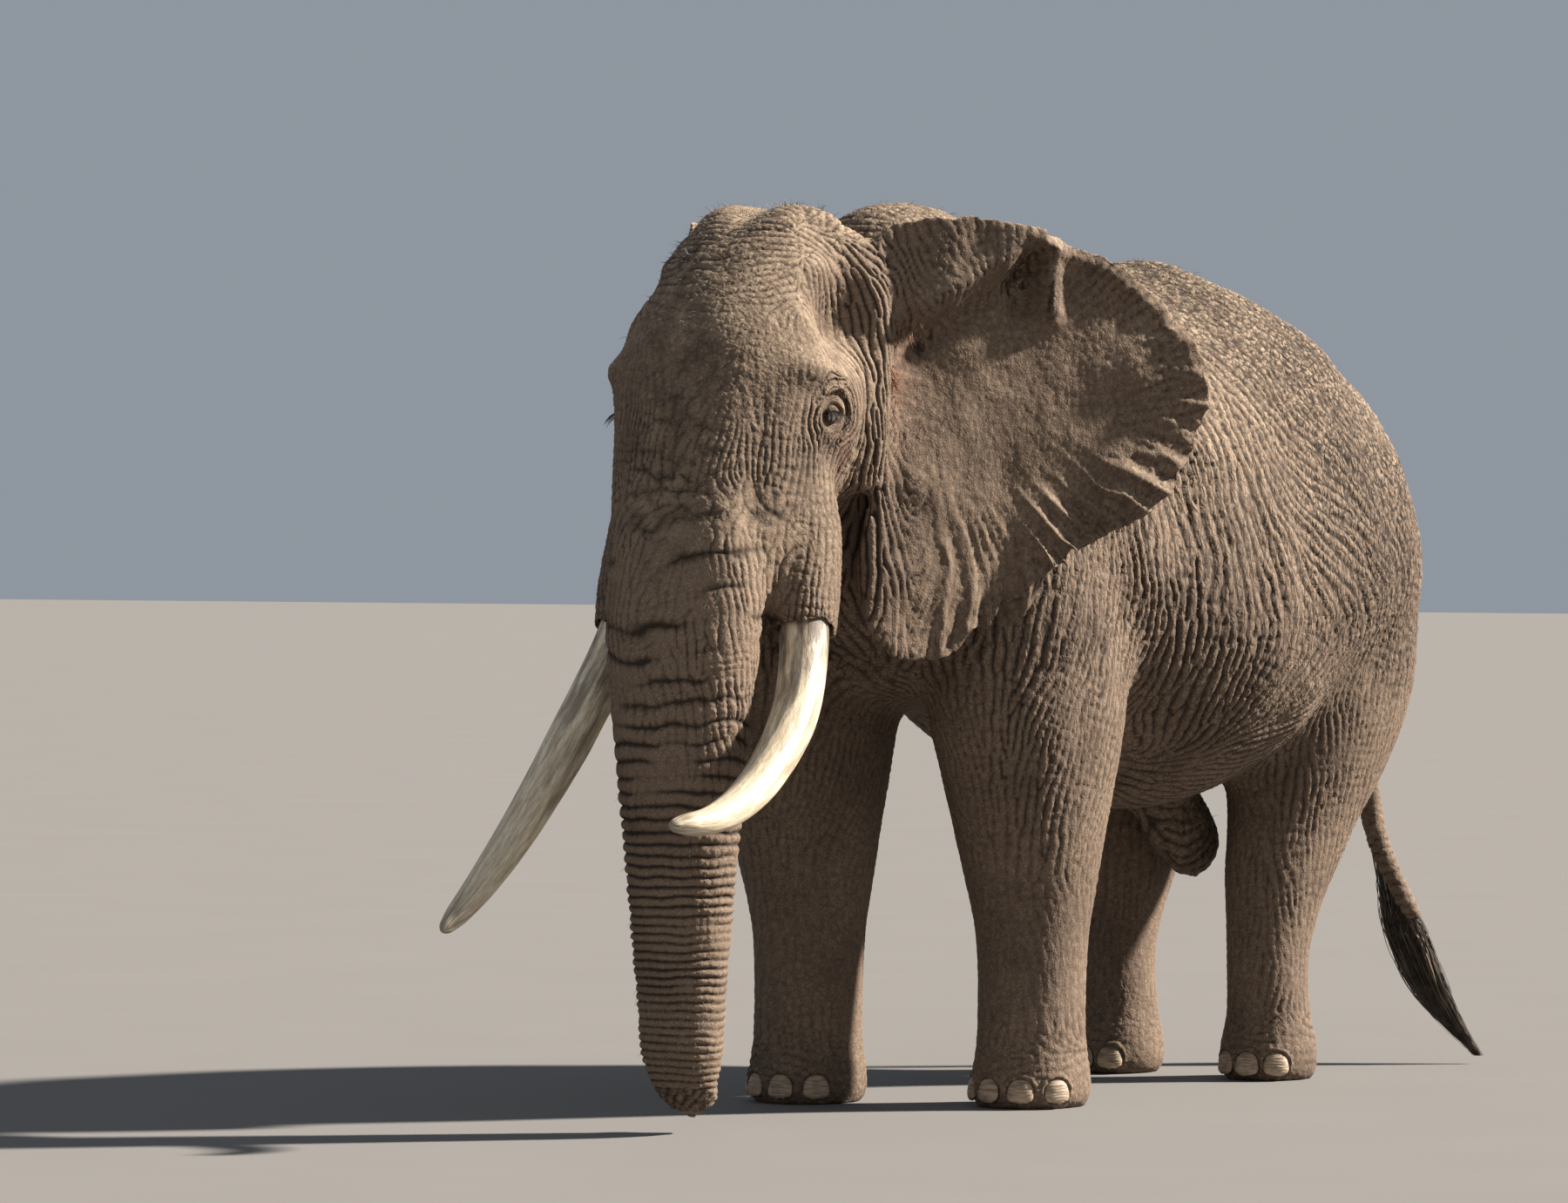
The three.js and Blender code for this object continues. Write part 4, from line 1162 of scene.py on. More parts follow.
def root_places(points):
    """Where points of the hide lie on its flat map."""
    where = Regions(points)
    chosen, regions = face_region(where, points)
    found = np.zeros((len(points), 2))
    for number, region in enumerate(regions):
        used = np.nonzero(chosen == number)[0]
        if used.size:
            found[used] = np.stack(flat_places(where.only(used), region), 1)
    return np.clip(found / MAP_WIDTH, 0.002, 0.998)


# ---------------- tusks, eyes and nails
TUSK_TAPER = profile([(0, 1), (0.35, 0.98), (0.7, 0.78), (0.93, 0.5), (1, 0.24)])
# Flats that work has worn on each tusk: share of its length, half length, the way it faces, depth.
TUSK_WEAR = {
    1: [(0.9, 0.07, (0.3, 0.2, -1), 6), (0.99, 0.03, (0.5, -0.4, 0.9), 9), (0.6, 0.1, (-1, 0, 0.2), 4)],
    -1: [(0.985, 0.045, (0.9, -0.5, -0.2), 12), (0.85, 0.08, (-0.4, 0, -1), 6), (0.5, 0.12, (1, 0, 0), 4)],
}


def tusk(side):
    """(points, faces, place in the grain) of one tusk, with its long hollows and its wear."""
    sections, sides = 260, 72
    places, along = evenly(spline([in_head(*point) for point in TUSK_LINES[side]]), sections)
    share = np.linspace(0, 1, sections)
    across_line = unit(np.cross(along, np.cross(LEFT, along)))
    up = np.cross(across_line, along)
    round_tip = np.sqrt(np.clip(1 - ((share - 0.982) / 0.018).clip(0, 1) ** 2, 0.004, 1))
    radius = TUSK_RADIUS * TUSK_TAPER(share) * round_tip
    angle = TURN * np.arange(sides) / sides
    outward = across_line[:, None] * np.cos(angle)[:, None] + up[:, None] * np.sin(angle)[:, None]
    grain = np.broadcast_arrays(np.cos(angle) * 90, np.sin(angle) * 90, (share * 2000)[:, None] * 0.12)
    grain = np.stack(grain, -1).reshape(-1, 3)
    uneven = (noise(grain, 34, 61) * 1.6 + noise(grain, 9, 62) * 0.7).reshape(sections, sides)
    reach = radius[:, None] * (1 + 0.03 * np.cos(2 * angle + 0.6)) + uneven * (radius / TUSK_RADIUS)[:, None]
    for middle, half, way, depth in TUSK_WEAR[side]:
        facing = outward @ unit(np.array(way, float))
        flat = np.maximum(radius - depth, 0.25 * radius)[:, None] / np.maximum(facing, 0.2)
        worn = bell(share, middle, half)[:, None]
        reach = np.where(facing > 0.2, lerp(reach, np.minimum(reach, flat), worn), reach)
    points, faces = loft(places[:, None] + outward * reach[..., None])
    grain = np.vstack([grain, grain[:1], grain[-1:]])
    return points, faces, grain


def eyeball(side):
    """(points, faces, turn away from the gaze) of one eye, with its cornea standing out a little."""
    gaze, ahead, up = eye_axes(side)
    sides = 64
    turn = math.pi * (np.arange(1, sides) / sides) ** 1.3
    angle = TURN * np.arange(sides) / sides
    radius = (EYE["radius"] - 0.4) + 1.6 * bell(turn, 0, 0.42)
    ring = np.cos(angle)[:, None] * ahead + np.sin(angle)[:, None] * up
    rings = eye_centre(side) + (radius * np.cos(turn))[:, None, None] * gaze
    rings = rings + (radius * np.sin(turn))[:, None, None] * ring
    points, faces = loft(rings)
    points[-2] = eye_centre(side) + gaze * radius[0]
    return points, faces, np.r_[np.repeat(turn, sides), 0, math.pi]


def toenail(middle, out, seed):
    """(points, faces) of one toenail: a domed plate with rings of growth and a worn lower edge."""

    def bent(v, power):
        return np.sign(v) * np.abs(v) ** power

    rows, sides = 40, 56
    side = np.array([-out[1], out[0], 0])
    turn = math.pi * (np.arange(1, rows) / rows)
    angle = TURN * np.arange(sides) / sides
    a = bent(np.sin(turn), 0.85)[:, None] * bent(np.cos(angle), 0.8)
    b = bent(np.sin(turn), 0.85)[:, None] * bent(np.sin(angle), 0.8)
    c = np.broadcast_to(bent(np.cos(turn), 0.9)[:, None], a.shape)
    taper = 1 - 0.16 * b
    waver = noise(np.stack([a, b, c], -1).reshape(-1, 3) * 50, 30, seed).reshape(a.shape)
    growth = 0.7 * np.sin(b * 26 + 2 * waver)
    edge = np.stack([a * 50, 0 * b, 0 * c], -1).reshape(-1, 3)
    chips = 5 * np.abs(noise(edge, 12, seed + 7)).reshape(a.shape)
    up = b * NAIL["height"] + chips * smoothstep(-b, 0.6, 0.95)
    out_by = c * (NAIL["thick"] - 3) + growth * (c > 0) - 4 * np.abs(a) ** 2 * (c > 0)
    lean = 0.12 * up
    points = middle + side * (a * taper * NAIL["half"] * 0.98)[..., None]
    points = points + out * (out_by - lean)[..., None] + UP * up[..., None]
    return loft(points)


def outward(mesh):
    """Turns every face of a closed mesh to face out."""
    work = bmesh.new()
    work.from_mesh(mesh)
    bmesh.ops.recalc_face_normals(work, faces=work.faces)
    work.to_mesh(mesh)
    work.free()
    mesh.shade_smooth()
    return mesh


# ---------------- hair
LOCK_PATCH = 0.003  # width of the patch that holds one lock, as a share of the flat map
LOCK_SIDES = 3


def locks(name, paths, width, shade):
    """One mesh of tapering locks along paths (locks, steps, 3), with their half widths and shades."""
    count, steps = paths.shape[:2]
    sides, turn = LOCK_SIDES, np.arange(LOCK_SIDES)
    along = unit(np.gradient(paths, axis=1))
    askew = unit(np.array([0.31, 0.22, 0.92]))  # any direction that the locks don't run in
    side = unit(np.cross(along, askew))
    up = np.cross(along, side)
    angle = TURN * turn / sides
    ring = side[:, :, None] * np.cos(angle)[:, None] + up[:, :, None] * np.sin(angle)[:, None]
    points = paths[:, :, None] + ring * width[:, :, None, None]
    start = (np.arange(count)[:, None, None] * steps + np.arange(steps - 1)[:, None]) * sides
    a, b = start + turn, start + (turn + 1) % sides
    quads = np.stack([a, b, b + sides, a + sides], -1).reshape(-1, 4)
    root = np.arange(count)[:, None] * steps * sides + turn
    faces = quads.tolist() + root[:, ::-1].tolist() + (root + (steps - 1) * sides).tolist()
    mesh = mesh_of(name, points.reshape(-1, 3), faces)
    write_values(mesh, "shade", np.repeat(shade, steps * sides))
    write_values(mesh, "tip", np.tile(np.repeat(np.linspace(0, 1, steps), sides), count))
    places = np.repeat(root_places(paths[:, 0]), steps * sides, axis=0)
    places[:, 0] += LOCK_PATCH * (np.tile(turn, count * steps) / sides - 0.33)
    places[:, 1] += LOCK_PATCH * (np.tile(np.repeat(np.linspace(-0.5, 0.5, steps), sides), count))
    write_map(mesh, places[corners_of(mesh)])
    return mesh


def tapered(half, steps, count):
    """The half width of each lock at each of its steps, from half at the root to a fine tip."""
    share = np.linspace(0, 1, steps)
    return np.broadcast_to(half * (1 - 0.85 * share**1.6), (count, steps))


TUFT_LINE = [(240, 1905, 800), (318, 1940, 520), (440, 1962, 260), (600, 2030, 30)]
TUFT_HALF = profile([(0, 34), (0.35, 98), (0.65, 80), (1, 10)])
LINE_STEPS = 200  # how finely the lines of the tail and its tuft are read


def tuft_paths(rng, count, steps):
    """The long hairs of the tail, from two rows on its last third to a shared point below."""
    tail_places, tail_ways = evenly(spline(TAIL_LINE), LINE_STEPS)
    line, ways = evenly(spline(TUFT_LINE), LINE_STEPS)
    top, foot, last = TUFT_LINE[0][2], TUFT_LINE[-1][2], LINE_STEPS - 1
    rise = unit(np.cross(X_AXIS, ways))
    root_share = rng.uniform(0.76, 1.0, count) ** 0.8
    at = np.minimum((root_share * last).astype(int), last)
    turn = rng.choice([0.5, -0.5], count) * math.pi + rng.normal(0, 0.55, count)
    side = unit(np.cross(X_AXIS, tail_ways[at]))
    out = side * np.sin(turn)[:, None] + X_AXIS * np.cos(turn)[:, None]
    root = tail_places[at] + out * (tail_size(at / last) * 0.8)[:, None]
    begin = np.clip((tail_places[at][:, 2] - top) / (foot - top), 0, 0.3)
    end = np.clip(begin + 0.3 + rng.beta(2.2, 1.3, count) * 0.75, 0.3, 0.995)
    spread = rng.beta(1.6, 1.1, count)
    lay = rng.uniform(0, TURN, count)
    share = begin[:, None] + (end - begin)[:, None] * np.linspace(0, 1, steps)
    index = np.clip(share * last, 0, last).astype(int)
    half = TUFT_HALF(share) * spread[:, None]
    wave = rng.normal(0, 9, (count, 1)) * np.sin(share * 9 + rng.uniform(0, 6, (count, 1)))
    target = line[index] + X_AXIS * (half * np.cos(lay)[:, None] + wave)[..., None]
    target = target + rise[index] * (half * 0.56 * np.sin(lay)[:, None])[..., None]
    blend = smoothstep(np.linspace(0, 1, steps), 0, 0.28)[None, :, None]
    start = root[:, None] + (target - target[:, :1]) * 0.9
    return lerp(start, target, blend)


def lash_paths(rng, side, count, steps):
    """Lashes along the upper lid, which stand out and then droop, and short ones along the lower."""
    gaze, ahead, up = eye_axes(side)
    a = rng.uniform(-0.92, 0.92, count) * LID["half"]
    upper = rng.random(count) < 0.72
    corner = 1 - (a / LID["half"]) ** 2
    b = np.where(upper, LID["upper"] * corner + 1.5, -LID["lower"] * corner - 1) - LID["droop"] + 0.12 * a
    c = np.sqrt(np.maximum(40**2 - a**2 - b**2, 0)) - 16
    root = eye_centre(side) + a[:, None] * ahead + b[:, None] * up + c[:, None] * gaze
    long = np.where(upper, rng.uniform(56, 86, count), rng.uniform(14, 26, count))
    share = np.linspace(0, 1, steps)
    out = long[:, None] * (0.85 * share - 0.12 * share**2)
    droop = np.where(upper, -0.5, -0.4)[:, None] * long[:, None] * share**2
    fan = (a / LID["half"] * 0.35 + rng.normal(0, 0.08, count))[:, None] * long[:, None] * share
    place = root[:, None] + gaze * out[..., None] + up * droop[..., None]
    return place + ahead * fan[..., None]


def coat_weights(where, normals):
    """How thickly the short hair grows at each point, for each of its places."""
    points = where.p

    def near(across, back, height, reach):
        far = (np.abs(where.across) - across) ** 2 + (where.back - back) ** 2 + (where.height - height) ** 2
        return np.exp(-far / reach**2)

    def opening(at):
        front = at["w"] > at["camber"]
        return at["share"] * bell(at["u"], 50, 45) * bell(points[:, 2], 2700, 110) * front

    upward = smoothstep(normals[:, 2], 0.2, 0.8)
    return {
        "ears": sum(opening(at) for at in where.ear.values()),
        "crown": near(0, 150, 3270, 330) * upward,
        "back": upward * (np.abs(points[:, 0]) < 260) * (points[:, 1] > -1300),
        "lip": near(0, -150, 1800, 130) * (normals[:, 2] < 0.2),
        "trunk": where.trunk * smoothstep(normals @ -BACK, 0.2, 0.9),
    }


def coat_paths(rng, points, normals, weight, count, lengths, lean, lie, steps):
    """Short hairs from places of the hide picked by weight, standing out and leaning along lie."""
    picked = rng.choice(len(points), count, p=weight / weight.sum())
    way = normals[picked] * (1 - lean) + unit(np.asarray(lie, float)) * lean
    way = unit(way + rng.normal(0, 0.16, (count, 3)))
    long = rng.uniform(*lengths, count)[:, None]
    share = np.linspace(0, 1, steps)
    bend = -UP * 0.35 + rng.normal(0, 0.1, (count, 1, 3))
    root = points[picked] - normals[picked] * 2
    return root[:, None] + way[:, None] * (long * share)[..., None] + bend * (long * share**2)[..., None]


# A real hair is 1 to 2 mm thick. The tail's hairs are drawn 4.6 mm thick at their roots, because finer
# ones don't show at full view.
TAIL_HAIR = {"count": 1500, "steps": 14, "half": 2.3}
LASH = {"count": 56, "steps": 8, "half": 1.0}
SHORT_HAIR_STEPS = 6
# Short hair by its place: how many hairs, how long, how far they lean and which way, their half width
# at the root, and how pale they are.
SHORT_HAIR = {
    "ears": (700, (26, 62), 0.6, (0.3, 0.2, -1), 0.9, 0.15),
    "crown": (520, (22, 48), 0.3, -BACK, 0.9, 0.2),
    "back": (520, (22, 46), 0.45, (0, 1, 0), 0.9, 0.2),
    "lip": (110, (50, 120), 0.4, (0, -0.3, -1), 0.9, 0.5),
    "trunk": (520, (12, 26), 0.3, (0, 0, -1), 0.7, 0.25),
}
HIDE_SAMPLE = 90000  # points of the hide that short hair may grow from


# ---------------- materials
def linear(code):
    """An sRGB hex colour as linear red, green, blue and alpha."""
    channels = [int(code[i : i + 2], 16) / 255 for i in (1, 3, 5)]
    return (*[c / 12.92 if c <= 0.04045 else ((c + 0.055) / 1.055) ** 2.4 for c in channels], 1.0)


def node(tree, kind, inputs=None, output=0, **settings):
    """Adds one node with its settings and links, and gives its output. An input is a value or a socket.

    Inputs and outputs go by name or number. A map range's are the value, the range that it comes from
    and the one that it goes to, and a mix of colours has its share first, its colours at 6 and 7 and
    its result at 2.
    """
    made = tree.nodes.new(f"ShaderNode{kind}")
    for key, value in settings.items():
        setattr(made, key, value)
    for key, value in (inputs or {}).items():
        if isinstance(value, bpy.types.NodeSocket):
            tree.links.new(value, made.inputs[key])
        else:
            made.inputs[key].default_value = value
    return made.outputs[output]


def material(name, **shader):
    """A new node material, its tree and its shader, with these values on the shader's own sockets."""
    made = bpy.data.materials.new(name)
    made.use_nodes = True
    tree = made.node_tree
    surface = next(n for n in tree.nodes if n.type == "BSDF_PRINCIPLED")
    for key, value in shader.items():
        surface.inputs[key.replace("_", " ")].default_value = value
    return made, tree, surface


def hide_material(colours):
    """Elephant hide, dry and dusty: matt, netted with cracks, with painted shade in its cracks and creases,
    pale on its crests.

    Its pebbles are about 6 mm wide in life. They are drawn 11 mm wide, because 6 mm is too fine to show.
    """
    made, tree, surface = material("Elephant hide", Roughness=0.86, Specular_IOR_Level=0.26)
    place = node(tree, "TexCoord", output="Object")
    crease, dust, bare, cracked, upright = (
        node(tree, "Attribute", output="Fac", attribute_name=name)
        for name in ("crease", "dust", "bare", "cracked", "upright")
    )
    broad = node(tree, "TexNoise", {"Vector": place, "Scale": 1 / (420 * MM), "Detail": 3.0})
    patch = node(tree, "TexNoise", {"Vector": place, "Scale": 1 / (90 * MM), "Detail": 4.0, "Roughness": 0.6})
    lump = node(tree, "TexNoise", {"Vector": place, "Scale": 1 / (22 * MM), "Detail": 3.0})
    grain = node(tree, "TexNoise", {"Vector": place, "Scale": 1 / (5 * MM)})  # grains of dust
    # The cracks wander, so that the pads between them have no straight sides.
    wander = node(tree, "TexNoise", {"Vector": place, "Scale": 1 / (46 * MM), "Detail": 1.0}, "Color")
    shift = node(tree, "VectorMath", {0: wander, 1: (0.5,) * 3}, operation="SUBTRACT")
    bent = node(tree, "VectorMath", {0: shift, 1: (34 * MM,) * 3, 2: place}, operation="MULTIPLY_ADD")
    tall = node(tree, "Mapping", {"Vector": bent, "Scale": (1.0, 1.0, 0.36)})
    edge = {"feature": "DISTANCE_TO_EDGE"}
    net = node(tree, "TexVoronoi", {"Vector": bent, "Scale": 1 / (30 * MM)}, **edge)
    tall_net = node(tree, "TexVoronoi", {"Vector": tall, "Scale": 1 / (23 * MM)}, **edge)
    pebble = node(tree, "TexVoronoi", {"Vector": place, "Scale": 1 / (11 * MM)}, **edge)
    pad = node(tree, "Mix", {0: upright, 2: net, 3: tall_net})
    soft = {"interpolation_type": "SMOOTHSTEP"}
    pebble = node(tree, "MapRange", {0: pebble, 1: 0.0, 2: 0.4}, **soft)
    # Hide colour in broad patches, then dust, thin skin, and painted shade at the pebbles' edges, in the net
    # of cracks and in the folds.
    # How dark the painted shade in the net of cracks is: patchy, and as strong as the cracks show.
    deep = node(tree, "MapRange", {0: patch, 1: 0.35, 2: 0.55, 3: 0.4, 4: 0.95})
    deep = node(tree, "Math", {0: deep, 1: cracked}, operation="MULTIPLY")
    colour = colours.hide_dark
    for share, over in (
        (node(tree, "MapRange", {0: broad, 1: 0.25, 2: 0.6}), colours.hide_pale),
        (node(tree, "MapRange", {0: patch, 1: 0.45, 2: 0.7, 3: 0.0, 4: 0.35}), colours.hide_dark),
        (node(tree, "MapRange", {0: patch, 1: 0.3, 2: 0.62, 3: 0.0, 4: dust}), colours.dust),
        (node(tree, "Math", {0: bare, 1: 0.6}, operation="MULTIPLY"), colours.bare_skin),
        # Painted shade, in the crease colour: at the pebbles' edges, in the net of cracks and in the folds.
        (node(tree, "MapRange", {0: pebble, 1: 0.0, 2: 0.6, 3: 0.3, 4: 0.0}), colours.crease),
        (node(tree, "MapRange", {0: pad, 1: 0.03, 2: 0.13, 3: deep, 4: 0.0}), colours.crease),
        (node(tree, "Math", {0: crease, 1: 0.85}, operation="MULTIPLY"), colours.crease),
    ):
        colour = node(tree, "Mix", {0: share, 6: colour, 7: over}, 2, data_type="RGBA")
    tree.links.new(colour, surface.inputs["Base Color"])
    # Relief in millimetres: pads that rise from their cracks, lumps, pebbles and grains.
    rise = node(tree, "Math", {0: cracked, 1: 3.0}, operation="MULTIPLY")
    relief = node(tree, "MapRange", {0: pad, 1: 0.0, 2: 0.26, 3: 0.0, 4: rise}, **soft)
    for height, scale in ((lump, 1.6), (pebble, 0.55), (grain, 0.5)):
        relief = node(tree, "Math", {0: height, 1: scale, 2: relief}, operation="MULTIPLY_ADD")
    raised = node(tree, "Bump", {"Height": relief, "Distance": MM})
    tree.links.new(raised, surface.inputs["Normal"])
    rough = node(tree, "MapRange", {0: crease, 1: 0.0, 2: 1.0, 3: 0.82, 4: 0.95})
    tree.links.new(rough, surface.inputs["Roughness"])
    return made


def ivory_material(colours):
    """Old ivory, grown in long layers and rubbed by use: satin cream, with brown stain in long streaks."""
    made, tree, surface = material("Ivory", Roughness=0.42, Coat_Weight=0.1, Coat_Roughness=0.25)
    grain = node(tree, "Attribute", output="Vector", attribute_name="grain")
    along = node(tree, "Attribute", output="Fac", attribute_name="along")
    streak, thread, blotch = (
        node(tree, "TexNoise", {"Vector": grain, "Scale": 1 / (size * MM), "Detail": 4.0, "Roughness": 0.62})
        for size in (16, 3.2, 52)
    )
    root = node(tree, "MapRange", {0: along, 1: 0.1, 2: 0.7, 3: 0.95, 4: 0.3})
    tip = node(tree, "MapRange", {0: along, 1: 0.88, 2: 1.0, 3: 0.0, 4: 0.8})
    colour = colours.ivory
    for share, over in (
        (node(tree, "MapRange", {0: streak, 1: 0.36, 2: 0.64}), colours.ivory_dark),
        (node(tree, "MapRange", {0: blotch, 1: 0.44, 2: 0.58, 3: 0.0, 4: root}), colours.stain),
        (node(tree, "MapRange", {0: streak, 1: 0.36, 2: 0.56, 3: 0.0, 4: tip}), colours.stain),
        (node(tree, "MapRange", {0: thread, 1: 0.3, 2: 0.42, 3: 0.75, 4: 0.0}), colours.stain),
    ):
        colour = node(tree, "Mix", {0: share, 6: colour, 7: over}, 2, data_type="RGBA")
    tree.links.new(colour, surface.inputs["Base Color"])
    relief = node(tree, "Math", {0: streak, 1: 2.0, 2: thread}, operation="MULTIPLY_ADD")
    raised = node(tree, "Bump", {"Height": relief, "Distance": MM})
    tree.links.new(raised, surface.inputs["Normal"])
    rough = node(tree, "MapRange", {0: streak, 1: 0.3, 2: 0.7, 3: 0.32, 4: 0.6})
    tree.links.new(rough, surface.inputs["Roughness"])
    return made


def eye_material(colours):
    """A living eye under its film of tears: glossy, a black pupil in an amber iris, dark round it."""
    made, tree, surface = material("Eyeball", Roughness=0.1, Coat_Weight=1.0, Coat_Roughness=0.02)
    place = node(tree, "TexCoord", output="Object")
    turn = node(tree, "Attribute", output="Fac", attribute_name="turn")
    fibre = node(tree, "TexNoise", {"Vector": place, "Scale": 1 / (1.4 * MM), "Detail": 3.0})
    ring = node(tree, "MapRange", {0: turn, 1: 0.44, 2: 0.56, 3: 1.0, 4: 0.0})
    colour = colours.iris
    for share, over in (
        (fibre, colours.iris_dark),
        (node(tree, "MapRange", {0: turn, 1: 0.4, 2: 0.48}), colours.eye_white),
        (node(tree, "MapRange", {0: turn, 1: 0.34, 2: 0.4, 3: 0.0, 4: ring}), colours.pupil),
        (node(tree, "MapRange", {0: turn, 1: 0.15, 2: 0.18, 3: 1.0, 4: 0.0}), colours.pupil),
    ):
        colour = node(tree, "Mix", {0: share, 6: colour, 7: over}, 2, data_type="RGBA")
    tree.links.new(colour, surface.inputs["Base Color"])
    return made


def nail_material(colours):
    """Toenail horn, grown in rings and ground by walking: dull, ringed, dusty at its worn edge."""
    made, tree, surface = material("Toenail horn", Roughness=0.58, Specular_IOR_Level=0.4)
    place = node(tree, "TexCoord", output="Object")
    low = node(tree, "Attribute", output="Fac", attribute_name="low")
    flat = node(tree, "Mapping", {"Vector": place, "Scale": (0.35, 0.35, 2.2)})
    rings = node(tree, "TexNoise", {"Vector": flat, "Scale": 1 / (16 * MM), "Detail": 3.0, "Roughness": 0.6})
    patch = node(tree, "TexNoise", {"Vector": place, "Scale": 1 / (30 * MM), "Detail": 3.0})
    worn = node(tree, "MapRange", {0: low, 1: 0.1, 2: 1.0})
    colour = colours.nail
    for share, over in (
        (node(tree, "MapRange", {0: rings, 1: 0.35, 2: 0.65}), colours.nail_dark),
        (node(tree, "MapRange", {0: patch, 1: 0.35, 2: 0.6, 3: 0.0, 4: worn}), colours.dust),
    ):
        colour = node(tree, "Mix", {0: share, 6: colour, 7: over}, 2, data_type="RGBA")
    tree.links.new(colour, surface.inputs["Base Color"])
    raised = node(tree, "Bump", {"Height": rings, "Distance": 1.6 * MM})
    tree.links.new(raised, surface.inputs["Normal"])
    return made


def hair_material(name, dark, pale):
    """Elephant hair, solid wiry bristle: dark with a low gloss, and pale where one is grey or dusty."""
    made, tree, surface = material(name, Roughness=0.45, Specular_IOR_Level=0.35)
    place = node(tree, "TexCoord", output="Object")
    tip, shade = (node(tree, "Attribute", output="Fac", attribute_name=at) for at in ("tip", "shade"))
    patch = node(tree, "TexNoise", {"Vector": place, "Scale": 1 / (40 * MM)})
    dusty = node(tree, "MapRange", {0: patch, 1: 0.35, 2: 0.65, 3: 0.0, 4: 0.35})
    share = node(tree, "Math", {0: dusty, 1: tip, 2: shade}, operation="MULTIPLY_ADD", use_clamp=True)
    colour = node(tree, "Mix", {0: share, 6: dark, 7: pale}, 2, data_type="RGBA")
    tree.links.new(colour, surface.inputs["Base Color"])
    return made


def floor_material(colours):
    """Painted plaster, plain and matt, with the faintest cloud in its paint."""
    made, tree, surface = material("Painted plaster", Roughness=0.9, Specular_IOR_Level=0.2)
    place = node(tree, "TexCoord", output="Object")
    cloud = node(tree, "TexNoise", {"Vector": place, "Scale": 1 / (900 * MM)})
    cloud = node(tree, "MapRange", {0: cloud, 1: 0.3, 2: 0.7, 3: 0.97, 4: 1.0})
    paint = tuple(colours.floor[:3])
    colour = node(tree, "VectorMath", {0: paint, "Scale": cloud}, operation="SCALE")
    tree.links.new(colour, surface.inputs["Base Color"])
    return made


# ---------------- what a user would change
def length(name, description, default):
    """A length that a user may change, in metres."""
    return bpy.props.FloatProperty(
        name=name, description=description, default=default, min=0.0, unit="LENGTH", subtype="DISTANCE"
    )


def tint(name, description, code):
    """A colour that a user may change, from its sRGB hex value."""
    return bpy.props.FloatVectorProperty(
        name=name, description=description, default=linear(code), size=4, min=0.0, max=1.0, subtype="COLOR"
    )


class ElephantSizes(bpy.types.PropertyGroup):
    """Sizes of the finish."""

    skin_cell: length("Skin cell", "Width of the cells in which the hide's forms are joined", 0.022)


class ElephantColours(bpy.types.PropertyGroup):
    """Colours of the finish."""

    hide_pale: tint("Pale hide", "Hide where it is dry and worn", "#7B6858")
    hide_dark: tint("Dark hide", "Hide where it is clean or damp", "#54443A")
    # The colour of the painted shade laid into the folds, the net of cracks, the pebbles' edges and round the
    # eyes' slits.
    crease: tint("Crease", "Hide deep in its folds", "#18110D")
    ivory: tint("Ivory", "Clean ivory", "#DDD1B9")
    ivory_dark: tint("Aged ivory", "The darker layers of the ivory", "#B3A184")
    stain: tint("Stain", "Earth and sap rubbed into the tusks", "#5A4C40")
    nail: tint("Toenail", "Pale rings of the toenails", "#A4927C")
    nail_dark: tint("Dark toenail", "Dark rings of the toenails", "#6E5D4D")
    iris: tint("Iris", "The bright fibres of the iris", "#6B4220")
    iris_dark: tint("Dark iris", "The dark fibres of the iris", "#2E1A0D")
    eye_white: tint("White of the eye", "The eyeball round the iris, which is brown", "#2A1D16")
    pupil: tint("Pupil", "The pupil and the ring round the iris", "#080605")
    hair_dark: tint("Hair", "Most of the tail's hairs and the lashes", "#16110E")
    hair_pale: tint("Pale hair", "Dusty and grey hairs", "#8B7A69")
    hair_red: tint("Ear hair", "Hairs in the opening of the ear", "#7A4526")
    dust: tint("Dust", "Dry earth on the back and the crests", "#A9947D")
    bare_skin: tint("Bare skin", "Thin skin at the ear's opening and under the gland", "#6B5043")
    floor: tint("Floor", "The plain floor under the animal", "#706E6C")


# ---------------- pieces
FLESH = [
    "head", "neck", "chest", "belly", "rump", "trunk_1", "trunk_2", "trunk_3", "trunk_4", "jaw", "tail",
    "ear_left", "ear_right", *(f"{part}_{leg}" for part in ("leg", "foot") for leg in LEGS),
]


def joined_forms(cell):
    """One closed skin round all the forms of the body."""
    forms = [torso(), groin(), neck(), skull(), trunk(), jaw(), tail()]
    forms += [form(side) for form in (tusk_sheath, ear_root) for side in SIDES.values()]
    forms += [leg_form(leg) for leg in LEGS.values()] + [ear_form(ear) for ear in EARS.values()]
    points, faces, start = [], [], 0
    for form_points, form_faces in forms:
        points.append(form_points)
        faces += [tuple(i + start for i in face) for face in form_faces]
        start += len(form_points)
    mesh = mesh_of("hide", np.vstack(points), faces)
    return finished(mesh, kind="REMESH", mode="VOXEL", voxel_size=cell)


# How far the hide's finer mesh reaches from the middle of an eye, of the slit between its lids, of a
# tusk's lip and of a toenail.
FINE_REACH = {"eye": 150, "slit": 66, "lip": 150, "nail": 75}


def near_any(points, middles, reach):
    """Whether each point is within reach of any of these places."""
    return np.min([np.linalg.norm(points - middle, axis=1) for middle in middles], 0) < reach


def on_head(points):
    """Whether these places are on the head or the trunk, but not on the ears."""
    where = Regions(points)
    return (where.head + where.trunk - 2 * where.ears) > 0.5


